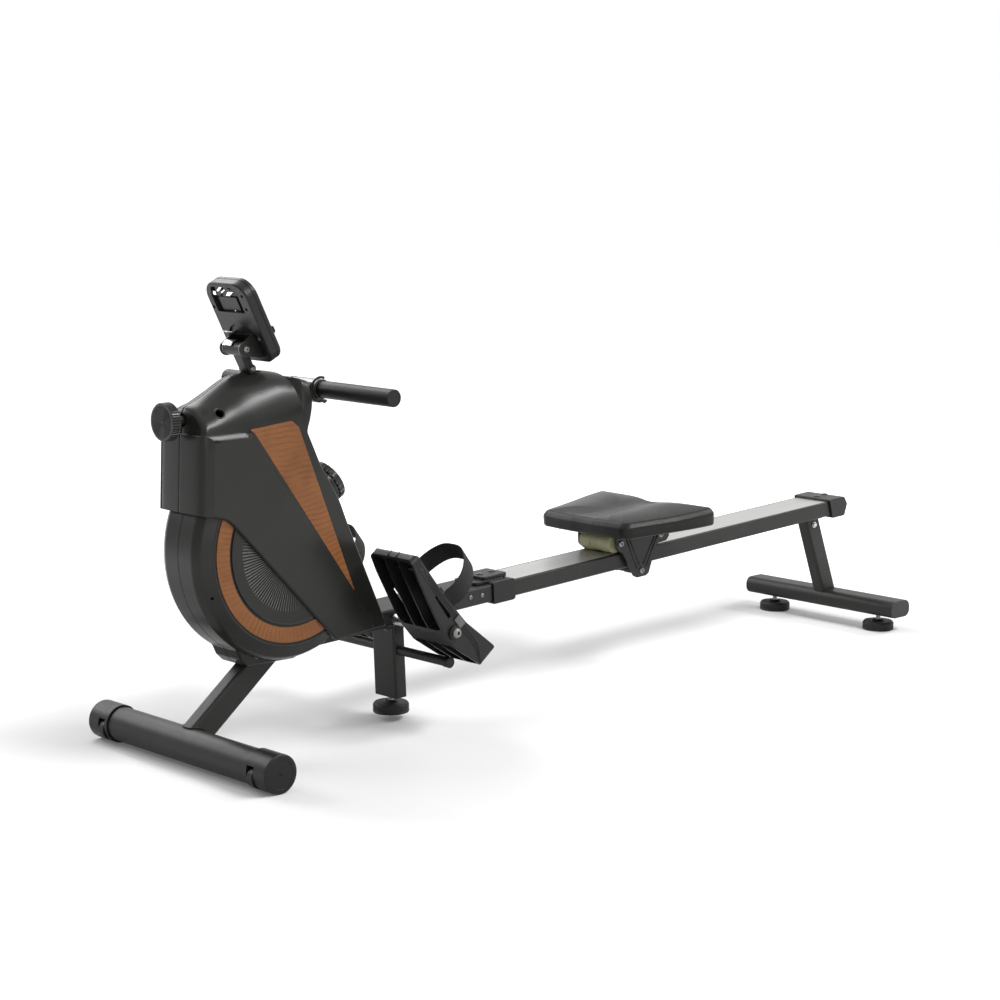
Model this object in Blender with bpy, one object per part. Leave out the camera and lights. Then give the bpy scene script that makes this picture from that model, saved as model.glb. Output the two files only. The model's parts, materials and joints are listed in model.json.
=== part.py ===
# Magnetic rowing machine, in metres, +Z up.
# x = 0 is the axis of the front stabiliser, the rail runs towards +X, and the floor is z = 0.
# Everything hangs from one empty, which moves the middle of the machine to the origin.
import math

import bmesh
import bpy
from mathutils import Matrix, Vector

# Overall layout
FIT = 0.0003
WELD = 0.00002
RAIL_SLOPE = math.radians(2.64)
RAIL_TOP_HEIGHT = 0.1901
COVER_HALF_WIDTH = 0.066

# Front stabiliser
STAB_CAP_RADIUS = 0.033
STAB_TUBE_RADIUS = 0.0295
STAB_WALL = 0.002
STAB_HALF_LENGTH = 0.246
STAB_CAP_LENGTH = 0.055
STAB_SKIRT = 0.0035
CAP_PLUG_DEPTH = 0.022
WHEEL_RADIUS = 0.0175
WHEEL_WIDTH = 0.014
WHEEL_FORWARD = 0.0165
WHEEL_DROP = 0.008
WHEEL_PIN_RADIUS = 0.003
WHEEL_SIDE_GAP = 0.0018

# Legs
LEG_WIDTH = 0.032
LEG_DEPTH = 0.0455
LEG_ANGLE = math.radians(38.8)
LEG_CORNER = 0.007
MID_LEG_X = 0.4355
MID_LEG_WIDTH = 0.060
MID_LEG_DEPTH = 0.026
MID_PAD_CLEARANCE = 0.0125
PAD_RADIUS = 0.03275
PAD_HEIGHT = 0.018
PAD_STUD_RADIUS = 0.005
STOP_BAR_RADIUS = 0.0085
STOP_BAR_HEIGHT = 0.129
STOP_BAR_HALF_LENGTH = 0.162
REAR_LEG_WIDTH = 0.028
REAR_LEG_DEPTH = 0.041
REAR_LEG_TOP_X = 1.6075
REAR_LEG_FOOT_X = 1.6655
REAR_LEG_TOP_HEIGHT = 0.220
REAR_LEG_FOOT_HEIGHT = 0.070
LEG_PLATE_THICKNESS = 0.005

# Rear stabiliser
REAR_STAB_X = 1.673
REAR_STAB_WIDTH = 0.062
REAR_STAB_BOTTOM = 0.0325
REAR_STAB_TOP = 0.0675
REAR_STAB_HALF_LENGTH = 0.197
REAR_STAB_CORNER = 0.015
REAR_CAP_THICKNESS = 0.004
REAR_FOOT_Y = 0.14

# Beam and rail
RAIL_WIDTH = 0.0875
RAIL_HEIGHT = 0.0317
RAIL_WALL = 0.003
RAIL_TOP_WALL = 0.005
RAIL_CORNER = 0.004
BEAM_START = 0.140
BEAM_END = 0.674
RAIL_END = 1.645
SLEEVE_START = 0.649
SLEEVE_LENGTH = 0.055
SLEEVE_TONGUE = 0.028
SLEEVE_TONGUE_HALF = 0.030
SLEEVE_TONGUE_RISE = 0.003
SLEEVE_LUG = 0.024
SLEEVE_WALL = 0.004
SCREW_HEAD_RADIUS = 0.0055
SCREW_HEAD_RISE = 0.0022
PLATE_WIDTH = 0.080
PLATE_THICKNESS = 0.0025
PLATE_BELOW_EDGE = 0.0004
END_CAP_START = 1.620
END_CAP_LENGTH = 0.059
END_CAP_SLANT = 0.010
END_CAP_WALL = 0.004

# Flywheel and drive
FLYWHEEL_CENTRE = (0.162, 0.342)
FLYWHEEL_RADIUS = 0.127
FLYWHEEL_RIM_HALF = 0.0125
FLYWHEEL_WEB_HALF = 0.005
FLYWHEEL_RIM_DEPTH = 0.022
FLYWHEEL_HUB_RADIUS = 0.018
FLYWHEEL_HUB_HALF = 0.027
AXLE_RADIUS = 0.006
PIN_RADIUS = 0.003
SMALL_PULLEY_RADIUS = 0.018
BIG_PULLEY_RADIUS = 0.066
PULLEY_WIDTH = 0.012
PULLEY_GAP = 0.0008
DRUM_CENTRE = (0.105, 0.528)
DRUM_RADIUS = 0.024
DRUM_FLANGE_RADIUS = 0.038
DRUM_HALF_WIDTH = 0.0155
BELT_THICKNESS = 0.0022
FRAME_PLATE_INNER = 0.0285
FRAME_PLATE_THICKNESS = 0.004
GUIDE_CENTRE = (0.196, 0.5965)
GUIDE_RADIUS = 0.0075
STRAP_WIDTH = 0.024
STRAP_THICKNESS = 0.0016
MAGNET_GAP = 0.0035
MAGNET_DEPTH = 0.007
MAGNET_ARM_THICKNESS = 0.004

# Covers
COVER_WALL = 0.003
COVER_CENTRE = (0.180, 0.349)
ROUND_COVER_RADIUS = 0.193
ROUND_COVER_HALF = 0.060
CRESCENT_INNER = 0.133
CRESCENT_OUTER = 0.160
INLAY_THICKNESS = 0.0016
COVER_OVERLAP = 0.025
SHOULDER_HEIGHT = 0.553

# Handle
HANDLE_CENTRE = (0.2615, 0.6064)
HANDLE_HALF_LENGTH = 0.2235
HANDLE_CORE_RADIUS = 0.0165
HANDLE_TUBE_RADIUS = 0.0115
GRIP_RADIUS = 0.0147
GRIP_START = 0.040
HOOK_GAP = 0.0011
HOOK_THICKNESS = 0.0055
HOOK_HALF_WIDTH = 0.033

# Knobs
FRONT_KNOB_HEIGHT = 0.573
FRONT_KNOB_RADIUS = 0.0315
FRONT_KNOB_FACE_X = -0.039
FRONT_KNOB_THICKNESS = 0.017
FRONT_STEM_RADIUS = 0.008
TENSION_KNOB_SEAT = (0.2726, 0.4269)
TENSION_KNOB_ANGLE = math.radians(31.3)
TENSION_KNOB_RADIUS = 0.038
TENSION_KNOB_THICKNESS = 0.013
KNOB_BOSS_RADIUS = 0.0372
KNOB_BOSS_HEIGHT = 0.0235
KNOB_STEM_RADIUS = 0.006

# Console
CONSOLE_TOP = (0.0990, 0.7928)
CONSOLE_BOTTOM = (0.1630, 0.6644)
CONSOLE_HALF_WIDTH = 0.0505
CONSOLE_BACK_DEPTH = 0.015
CONSOLE_FRONT_DEPTH = 0.009
CONSOLE_CORNER = 0.022
CONSOLE_TOP_CORNER = 0.036
LEDGE_SHARE = 0.27
LEDGE_DEPTH = 0.012
LEDGE_LIP = 0.012
LEDGE_HALF = 0.040
BARREL_CENTRE = (0.1125, 0.6825)
BARREL_RADIUS = 0.0115
BARREL_HALF_LENGTH = 0.024
EAR_THICKNESS = 0.003
MAST_WIDTH = 0.026
MAST_DEPTH = 0.020

# Pedals
PEDAL_TOP = (0.332, 0.337)
PEDAL_ANGLE = math.radians(52.9)
PEDAL_LENGTH = 0.258
PEDAL_INNER_Y = 0.088
PEDAL_OUTER_Y = 0.198
PEDAL_PIVOT_DOWN = 0.1662
PEDAL_PIVOT_BEHIND = 0.0219
PEDAL_WALL = 0.004
PEDAL_DECK = 0.005
PEDAL_AXLE_RADIUS = 0.006
PEDAL_STRAP_WIDTH = 0.036
PEDAL_STRAP_THICKNESS = 0.002
PEDAL_STRAP_RISE = 0.099
PEDAL_STRAP_MIDDLE = 0.118
PEDAL_STRAP_LEAN = -0.19
PEDAL_STRAP_BULGE = 0.006

# Seat
SEAT_FRONT = 0.930
SEAT_REAR = 1.144
SEAT_FRONT_HALF = 0.114
SEAT_REAR_HALF = 0.1535
SEAT_UNDERSIDE = 0.0435
SEAT_BAND = 0.030
SEAT_CROWN = 0.011
SEAT_VALLEY = 0.008
SEAT_MIDDLE = 1.036
SIDE_PLATE_GAP = 0.0038
SIDE_PLATE_THICKNESS = 0.005
ROLLER_RADIUS = 0.020
ROLLER_HALF_LENGTH = 0.039
ROLLER_SPREAD = 0.056
LOWER_ROLLER_RADIUS = 0.009
ROLLER_PIN_RADIUS = 0.004
ROLLER_RUNNING_GAP = 0.0006

# Facets round a turned piece, and the height at which a cap stands on one of its flats
TURNS = 24
SMALL_TURNS = 16
STAB_HEIGHT = STAB_CAP_RADIUS * math.cos(math.pi / TURNS)

# Colour, roughness and metallic of each material
FINISHES = {
    "frame_paint": ((0.035, 0.035, 0.034), 0.42, 0.3),
    "cover_plastic": ((0.045, 0.045, 0.043), 0.45, 0.0),
    "black_plastic": ((0.018, 0.018, 0.018), 0.5, 0.0),
    "rubber": ((0.015, 0.015, 0.015), 0.8, 0.0),
    "wood": ((0.28, 0.11, 0.045), 0.5, 0.0),
    "steel": ((0.6, 0.6, 0.6), 0.3, 1.0),
    "silver_plate": ((0.55, 0.55, 0.55), 0.35, 1.0),
    "cast_iron": ((0.12, 0.12, 0.12), 0.55, 1.0),
    "roller_plastic": ((0.21, 0.21, 0.1), 0.5, 0.0),
    "foam": ((0.02, 0.02, 0.02), 0.75, 0.0),
    "vinyl": ((0.04, 0.04, 0.04), 0.4, 0.0),
    "webbing": ((0.03, 0.03, 0.03), 0.85, 0.0),
    "lens": ((0.01, 0.012, 0.014), 0.1, 0.0),
}


# Clean start
for old in list(bpy.data.objects):
    bpy.data.objects.remove(old, do_unlink=True)


def finish(name):
    """One Principled material for each finish, made once."""
    if name in bpy.data.materials:
        return bpy.data.materials[name]
    colour, roughness, metallic = FINISHES[name]
    made = bpy.data.materials.new(name)
    made.use_nodes = True
    shader = made.node_tree.nodes["Principled BSDF"]
    shader.inputs["Base Color"].default_value = (*colour, 1.0)
    shader.inputs["Roughness"].default_value = roughness
    shader.inputs["Metallic"].default_value = metallic
    made.diffuse_color = (*colour, 1.0)
    return made


def empty(name, location, tilt=0.0, parent=None):
    made = bpy.data.objects.new(name, None)
    made.location = location
    made.rotation_euler = (0.0, tilt, 0.0)
    made.parent = parent
    bpy.context.scene.collection.objects.link(made)
    return made


front_extreme = FRONT_KNOB_FACE_X
rear_extreme = REAR_STAB_X + max(REAR_STAB_WIDTH / 2, PAD_RADIUS * math.cos(math.pi / TURNS))
ROOT = empty("machine", (-(front_extreme + rear_extreme) / 2, 0.0, 0.0))
RAIL = empty("rail_line", (0.0, 0.0, RAIL_TOP_HEIGHT), -RAIL_SLOPE, ROOT)
RAIL_TO_MACHINE = Matrix.Translation((0, 0, RAIL_TOP_HEIGHT)) @ Matrix.Rotation(-RAIL_SLOPE, 4, "Y")


def solid(name, vertices, faces):
    """A closed mesh whose faces are turned to point outwards."""
    mesh = bpy.data.meshes.new(name)
    shape = bmesh.new()
    corners = [shape.verts.new(point) for point in vertices]
    for face in faces:
        shape.faces.new([corners[index] for index in face])
    bmesh.ops.recalc_face_normals(shape, faces=shape.faces)
    shape.to_mesh(mesh)
    shape.free()
    made = bpy.data.objects.new(name, mesh)
    bpy.context.scene.collection.objects.link(made)
    return made


def extrusion(name, outline, low, high, axis="y"):
    """Pulls a 2-D outline along one axis: x takes (y, z), y takes (x, z), z takes (x, y)."""
    place = {
        "x": lambda a, b, depth: (depth, a, b),
        "y": lambda a, b, depth: (a, depth, b),
        "z": lambda a, b, depth: (a, b, depth),
    }[axis]
    count = len(outline)
    vertices = [place(a, b, low) for a, b in outline] + [place(a, b, high) for a, b in outline]
    faces = [tuple(range(count)), tuple(range(2 * count - 1, count - 1, -1))]
    for index in range(count):
        after = (index + 1) % count
        faces.append((index, after, count + after, count + index))
    return solid(name, vertices, faces)


def block(name, low, high):
    outline = [(low[0], low[2]), (high[0], low[2]), (high[0], high[2]), (low[0], high[2])]
    return extrusion(name, outline, low[1], high[1])


def turned(name, profile, turns=TURNS):
    """Turns a profile of (radius, height) points about Z; a radius of 0 closes it on the axis."""
    vertices = []
    rings = []
    for radius, height in profile:
        if radius == 0.0:
            rings.append([len(vertices)] * turns)
            vertices.append((0.0, 0.0, height))
            continue
        rings.append([len(vertices) + step for step in range(turns)])
        for step in range(turns):
            angle = 2 * math.pi * (step + 0.5) / turns
            vertices.append((radius * math.cos(angle), radius * math.sin(angle), height))
    pairs = list(zip(rings, rings[1:]))
    if profile[0][0] != 0.0:
        pairs.append((rings[-1], rings[0]))
    faces = []
    for ring, above in pairs:
        for step in range(turns):
            after = (step + 1) % turns
            corners = [ring[step], ring[after], above[after], above[step]]
            corners = [corner for place, corner in enumerate(corners) if corner not in corners[:place]]
            if len(corners) > 2:
                faces.append(tuple(corners))
    return solid(name, vertices, faces)


def rod(name, radius, low, high, turns=TURNS, chamfer=0.0):
    if chamfer == 0.0:
        return turned(name, [(0.0, low), (radius, low), (radius, high), (0.0, high)], turns)
    profile = [
        (0.0, low), (radius - chamfer, low), (radius, low + chamfer),
        (radius, high - chamfer), (radius - chamfer, high), (0.0, high),
    ]
    return turned(name, profile, turns)


def moved(made, location, axis="z"):
    """Lays a turned shape's Z axis along the named axis and moves it, in its mesh."""
    lay = {
        "x": Matrix.Rotation(math.pi / 2, 4, "Y"),
        "y": Matrix.Rotation(-math.pi / 2, 4, "X"),
        "z": Matrix.Identity(4),
    }[axis]
    made.data.transform(Matrix.Translation(location) @ lay)
    return made


def along(made, start, end, roll=Vector((0.0, 1.0, 0.0))):
    """Turns a shape's Z axis to run from start to end, with its Y axis kept along roll."""
    start = Vector(start)
    forward = (Vector(end) - start).normalized()
    side = roll.cross(forward).normalized()
    across = forward.cross(side)
    turn = Matrix((side, across, forward)).transposed().to_4x4()
    made.data.transform(Matrix.Translation(start) @ turn)
    return made


def arc(centre, radius, first, last, steps):
    """Points of an arc, angles in degrees."""
    points = []
    for step in range(steps + 1):
        angle = math.radians(first + (last - first) * step / steps)
        points.append((centre[0] + radius * math.cos(angle), centre[1] + radius * math.sin(angle)))
    return points


def rounded_box(half_width, half_height, corner, steps=3):
    """A rectangle about the middle with round corners."""
    points = []
    for sign_a, sign_b, first in ((1, 1, 0), (-1, 1, 90), (-1, -1, 180), (1, -1, 270)):
        centre = (sign_a * (half_width - corner), sign_b * (half_height - corner))
        points += arc(centre, corner, first, first + 90, steps)
    return points


def combined(base, tools, operation):
    """Joins the tools to the base, cuts them from it or keeps what they share."""
    for tool in tools:
        step = base.modifiers.new(operation.lower(), "BOOLEAN")
        step.operation = operation
        step.solver = "EXACT"
        step.object = tool
    bpy.context.view_layer.update()
    graph = bpy.context.evaluated_depsgraph_get()
    result = bpy.data.meshes.new_from_object(base.evaluated_get(graph))
    base.modifiers.clear()
    base.data = result
    shape = bmesh.new()
    shape.from_mesh(result)
    bmesh.ops.remove_doubles(shape, verts=shape.verts, dist=WELD)
    bmesh.ops.dissolve_degenerate(shape, edges=shape.edges, dist=WELD)
    shape.to_mesh(result)
    shape.free()
    for tool in tools:
        bpy.data.objects.remove(tool, do_unlink=True)
    return base


def cut(base, *tools):
    return combined(base, tools, "DIFFERENCE")


def joined(base, *tools):
    return combined(base, tools, "UNION")


def node(made, name, finish_name, parent=None, origin=None):
    """Names a finished piece, gives it its material and sets its origin."""
    made.name = name
    made.data.name = name
    made.data.materials.clear()
    made.data.materials.append(finish(finish_name))
    for face in made.data.polygons:
        face.material_index = 0
    made.data.shade_smooth()
    made.data.set_sharp_from_angle(angle=math.radians(32))
    if origin is not None:
        made.data.transform(Matrix.Translation(-Vector(origin)))
        made.location = origin
    made.parent = parent if parent is not None else ROOT
    return made


def mirrored(made, name):
    """The same solid on the other side of the machine."""
    mesh = made.data.copy()
    mesh.transform(Matrix.Scale(-1.0, 4, (0.0, 1.0, 0.0)))
    mesh.flip_normals()
    twin = bpy.data.objects.new(name, mesh)
    bpy.context.scene.collection.objects.link(twin)
    return twin


def beam_way():
    """The room the beam takes up inside the covers."""
    way = block("beam_way", (BEAM_START - 0.002, -RAIL_WIDTH / 2 - 0.001, -RAIL_HEIGHT - 0.001),
                (BEAM_END, RAIL_WIDTH / 2 + 0.001, 0.001))
    way.data.transform(RAIL_TO_MACHINE)
    return way


def rail_top(x):
    """Height of the rail's top line above the floor at x."""
    return RAIL_TOP_HEIGHT + math.tan(RAIL_SLOPE) * x


def offset_outline(points, distances):
    """Moves each edge of an anticlockwise outline inwards by its own distance."""
    count = len(points)
    lines = []
    for index in range(count):
        start = Vector(points[index])
        edge = Vector(points[(index + 1) % count]) - start
        inward = Vector((-edge.y, edge.x)).normalized()
        lines.append((start + inward * distances[index], edge.normalized()))
    result = []
    for index in range(count):
        point, direction = lines[index - 1]
        other, across = lines[index]
        turn = direction.x * across.y - direction.y * across.x
        gap = other - point
        reach = (gap.x * across.y - gap.y * across.x) / turn
        met = point + direction * reach
        result.append((met.x, met.y))
    return result


def make_front_stabiliser():
    """A round tube with a cap on each end, and a small transport wheel in each cap."""
    height = STAB_HEIGHT
    cap_start = STAB_HALF_LENGTH - STAB_CAP_LENGTH
    tube_end = cap_start + STAB_SKIRT
    bore = STAB_TUBE_RADIUS - STAB_WALL
    profile = [
        (bore, -tube_end), (STAB_TUBE_RADIUS, -tube_end),
        (STAB_TUBE_RADIUS, tube_end), (bore, tube_end),
    ]
    node(moved(turned("tube", profile), (0, 0, height), "y"), "front_stabilizer_tube", "frame_paint")
    for side, word in ((1, "left"), (-1, "right")):
        inner_edge = tube_end + FIT
        profile = [
            (0.0, tube_end - CAP_PLUG_DEPTH), (bore - FIT, tube_end - CAP_PLUG_DEPTH),
            (bore - FIT, inner_edge), (STAB_TUBE_RADIUS + FIT, inner_edge),
            (STAB_TUBE_RADIUS + FIT, cap_start), (STAB_CAP_RADIUS, cap_start),
            (STAB_CAP_RADIUS, STAB_HALF_LENGTH - 0.002), (STAB_CAP_RADIUS - 0.002, STAB_HALF_LENGTH),
            (0.003, STAB_HALF_LENGTH), (0.003, STAB_HALF_LENGTH - 0.001), (0.0, STAB_HALF_LENGTH - 0.001),
        ]
        cap = moved(turned("cap", profile), (0, 0, height), "y")
        slot_low = inner_edge + 0.003
        slot_high = slot_low + WHEEL_WIDTH + 2 * WHEEL_SIDE_GAP
        middle = (slot_low + slot_high) / 2
        wheel_height = height - WHEEL_DROP
        reach = WHEEL_RADIUS + 0.0025
        slot = block(
            "slot", (-0.05, slot_low, wheel_height - reach),
            (reach - WHEEL_FORWARD, slot_high, wheel_height + reach),
        )
        pin_half = WHEEL_WIDTH / 2 + WHEEL_SIDE_GAP + 0.0022
        bore_pin = rod("bore", WHEEL_PIN_RADIUS + FIT, -pin_half - FIT, pin_half + FIT, SMALL_TURNS)
        moved(bore_pin, (-WHEEL_FORWARD, middle, wheel_height), "y")
        cap = cut(cap, slot, bore_pin)
        half = WHEEL_WIDTH / 2
        profile = [
            (0.0, -pin_half), (WHEEL_PIN_RADIUS, -pin_half), (WHEEL_PIN_RADIUS, -half),
            (WHEEL_RADIUS - 0.0015, -half), (WHEEL_RADIUS, -half + 0.0015),
            (WHEEL_RADIUS, half - 0.0015), (WHEEL_RADIUS - 0.0015, half),
            (WHEEL_PIN_RADIUS, half), (WHEEL_PIN_RADIUS, pin_half), (0.0, pin_half),
        ]
        wheel = moved(turned("wheel", profile, SMALL_TURNS), (-WHEEL_FORWARD, middle, wheel_height), "y")
        if side < 0:
            cap_twin = mirrored(cap, "cap")
            wheel_twin = mirrored(wheel, "wheel")
            bpy.data.objects.remove(cap, do_unlink=True)
            bpy.data.objects.remove(wheel, do_unlink=True)
            cap, wheel = cap_twin, wheel_twin
        node(cap, "front_end_cap_" + word, "black_plastic")
        centre = (-WHEEL_FORWARD, side * middle, wheel_height)
        node(wheel, "transport_wheel_" + word, "black_plastic", None, centre)


def make_front_leg():
    """A rounded rectangular tube from the stabiliser up to the underside of the beam."""
    direction = Vector((math.cos(LEG_ANGLE), 0.0, math.sin(LEG_ANGLE)))
    start = Vector((0.0, 0.0, STAB_HEIGHT + 0.004))
    outline = rounded_box(LEG_DEPTH / 2, LEG_WIDTH / 2, LEG_CORNER)
    leg = extrusion("leg", outline, 0.0, 0.26, "z")
    along(leg, start, start + direction)
    saddle = rod("saddle", STAB_TUBE_RADIUS + FIT, -0.06, 0.06, 48)
    moved(saddle, (0, 0, STAB_HEIGHT), "y")
    above = block("above", (-0.2, -0.1, -RAIL_HEIGHT - FIT), (0.6, 0.1, 0.3))
    above.data.transform(RAIL_TO_MACHINE)
    behind = block("behind", (-0.2, -0.1, -0.1), (STAB_TUBE_RADIUS * 0.2, 0.1, STAB_HEIGHT))
    node(cut(leg, saddle, above, behind), "front_leg", "frame_paint")


def screw_heads(places, height):
    """Low round heads that stand on a level face in the rail's frame."""
    heads = []
    for x in places:
        head = rod("head", SCREW_HEAD_RADIUS, -0.001, SCREW_HEAD_RISE, SMALL_TURNS, 0.0007)
        heads.append(moved(head, (x, 0.0, height)))
    return heads


def make_beam_and_rail():
    """The square frame beam, the slide rail behind it, the sleeve that joins them and the end cap."""
    outer = rounded_box(RAIL_WIDTH / 2, RAIL_HEIGHT / 2, RAIL_CORNER, 2)
    outer = [(a, b - RAIL_HEIGHT / 2) for a, b in outer]
    half = RAIL_WIDTH / 2 - RAIL_WALL
    beam = extrusion("beam", outer, BEAM_START, BEAM_END, "x")
    beam = cut(beam, block(
        "hollow", (BEAM_START - 0.01, -half, -RAIL_HEIGHT + RAIL_WALL), (BEAM_END + 0.01, half, -RAIL_WALL)))
    pivot = pedal_pivot()
    bore = moved(rod("bore", PEDAL_AXLE_RADIUS + FIT, -0.1, 0.1, SMALL_TURNS), (pivot[0], 0, pivot[1]), "y")
    bore.data.transform(RAIL_TO_MACHINE.inverted())
    node(cut(beam, bore), "main_beam", "frame_paint", RAIL)

    rail = extrusion("rail", outer, BEAM_END + FIT, RAIL_END, "x")
    hollow = block(
        "hollow", (BEAM_END - 0.01, -half, -RAIL_HEIGHT + RAIL_WALL), (RAIL_END + 0.01, half, -RAIL_TOP_WALL))
    plate_bottom = -PLATE_BELOW_EDGE - PLATE_THICKNESS
    groove = block(
        "groove", (BEAM_END - 0.01, -PLATE_WIDTH / 2 - FIT, plate_bottom - FIT),
        (RAIL_END + 0.01, PLATE_WIDTH / 2 + FIT, 0.01))
    node(cut(rail, hollow, groove), "slide_rail", "frame_paint", RAIL)
    plate_start = BEAM_END + 0.001
    plate = block(
        "plate", (plate_start, -PLATE_WIDTH / 2, plate_bottom),
        (RAIL_END - 0.004, PLATE_WIDTH / 2, -PLATE_BELOW_EDGE))
    node(plate, "rail_running_plate", "silver_plate", RAIL)

    bore_half = RAIL_WIDTH / 2 + FIT
    sleeve_half = bore_half + SLEEVE_WALL
    low = -RAIL_HEIGHT - FIT - SLEEVE_WALL
    high = FIT + SLEEVE_WALL
    outline = [
        (SLEEVE_START, low), (SLEEVE_START + SLEEVE_LENGTH - 0.004, low), (SLEEVE_START + SLEEVE_LENGTH, low + 0.006),
        (SLEEVE_START + SLEEVE_LENGTH, high - 0.006), (SLEEVE_START + SLEEVE_LENGTH - 0.006, high),
        (SLEEVE_START + 0.006, high), (SLEEVE_START, high - 0.006),
    ]
    sleeve = extrusion("sleeve", outline, -sleeve_half, sleeve_half)
    bore = block("bore", (SLEEVE_START - 0.01, -bore_half, -RAIL_HEIGHT - FIT),
                 (SLEEVE_START + SLEEVE_LENGTH + 0.01, bore_half, FIT))
    lug = block("lug", (SLEEVE_START + SLEEVE_LENGTH - 0.010, -0.010, low - 0.002),
                (SLEEVE_START + SLEEVE_LENGTH + SLEEVE_LUG, 0.010, low + SLEEVE_WALL - FIT))
    tongue = block("tongue", (SLEEVE_START - SLEEVE_TONGUE, -SLEEVE_TONGUE_HALF, FIT),
                   (SLEEVE_START + SLEEVE_LENGTH - 0.010, SLEEVE_TONGUE_HALF, high + SLEEVE_TONGUE_RISE))
    heads = screw_heads((SLEEVE_START - 0.012, SLEEVE_START + 0.022), high + SLEEVE_TONGUE_RISE)
    node(joined(cut(sleeve, bore), lug, tongue, *heads), "rail_sleeve", "black_plastic", RAIL)

    last = END_CAP_START + END_CAP_LENGTH
    cap_half = bore_half + END_CAP_WALL
    low = -RAIL_HEIGHT - FIT - END_CAP_WALL
    high = FIT + END_CAP_WALL
    outline = [
        (END_CAP_START + END_CAP_SLANT, low), (last - 0.010, low), (last, -0.012),
        (last - 0.010, high), (END_CAP_START + 0.004, high), (END_CAP_START, high - 0.004),
    ]
    cap = extrusion("cap", outline, -cap_half, cap_half)
    bore = block("bore", (END_CAP_START - 0.05, -bore_half, -RAIL_HEIGHT - FIT),
                 (RAIL_END + FIT, bore_half, FIT))
    heads = screw_heads((END_CAP_START + 0.018, END_CAP_START + 0.042), high)
    node(joined(cut(cap, bore), *heads), "rear_end_cap", "black_plastic", RAIL)


def pedal_pivot():
    """The pedals' axis in x and z, from the top edge of the pedal down its face."""
    down = (math.cos(PEDAL_ANGLE), -math.sin(PEDAL_ANGLE))
    out = (math.sin(PEDAL_ANGLE), math.cos(PEDAL_ANGLE))
    return (
        PEDAL_TOP[0] + down[0] * PEDAL_PIVOT_DOWN - out[0] * PEDAL_PIVOT_BEHIND,
        PEDAL_TOP[1] + down[1] * PEDAL_PIVOT_DOWN - out[1] * PEDAL_PIVOT_BEHIND,
    )


def make_pad(name, x, y, bottom, seat):
    """A round levelling foot with its stud, which turns about the stud's axis."""
    profile = [
        (0.0, 0.0), (PAD_RADIUS - 0.002, 0.0), (PAD_RADIUS, 0.002), (PAD_RADIUS, PAD_HEIGHT - 0.004),
        (PAD_RADIUS - 0.004, PAD_HEIGHT), (PAD_STUD_RADIUS, PAD_HEIGHT),
        (PAD_STUD_RADIUS, seat), (0.0, seat),
    ]
    pad = moved(turned(name, profile), (x, y, bottom))
    node(pad, name, "rubber", None, (x, y, bottom))


def make_mid_leg():
    """The leg under the pedals with its top plate, levelling foot and the pedals' stop bar."""
    lean = Vector((math.sin(RAIL_SLOPE), 0.0, -math.cos(RAIL_SLOPE)))
    top_height = rail_top(MID_LEG_X) - (RAIL_HEIGHT + FIT) / math.cos(RAIL_SLOPE)
    top = Vector((MID_LEG_X, 0.0, top_height))
    outline = rounded_box(MID_LEG_DEPTH / 2, MID_LEG_WIDTH / 2, 0.004, 2)
    foot_height = MID_PAD_CLEARANCE + PAD_HEIGHT + 0.012
    leg_length = (top_height - foot_height) / math.cos(RAIL_SLOPE)
    leg = extrusion("leg", outline, 0.0, leg_length, "z")
    along(leg, top, top + lean)
    plate = block("plate", (-0.032, -MID_LEG_WIDTH / 2 - 0.004, 0.0),
                  (0.032, MID_LEG_WIDTH / 2 + 0.004, LEG_PLATE_THICKNESS))
    along(plate, top, top + lean)
    leg = joined(leg, plate)
    foot = top + lean * leg_length
    stud = moved(rod("stud", PAD_STUD_RADIUS + FIT, -0.05, 0.028, SMALL_TURNS), (foot.x, 0, foot.z))
    bar_x = MID_LEG_X + (top_height - STOP_BAR_HEIGHT) * math.tan(RAIL_SLOPE)
    hole = moved(rod("hole", STOP_BAR_RADIUS + FIT, -0.1, 0.1, 24), (bar_x, 0, STOP_BAR_HEIGHT), "y")
    node(cut(leg, stud, hole), "mid_leg", "frame_paint")
    pad_seat = foot.z + 0.026 - MID_PAD_CLEARANCE
    make_pad("mid_foot", foot.x, 0.0, MID_PAD_CLEARANCE, pad_seat)
    bar = rod("bar", STOP_BAR_RADIUS, -STOP_BAR_HALF_LENGTH, STOP_BAR_HALF_LENGTH, 24, 0.001)
    node(moved(bar, (bar_x, 0, STOP_BAR_HEIGHT), "y"), "pedal_stop_bar", "frame_paint")


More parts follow.
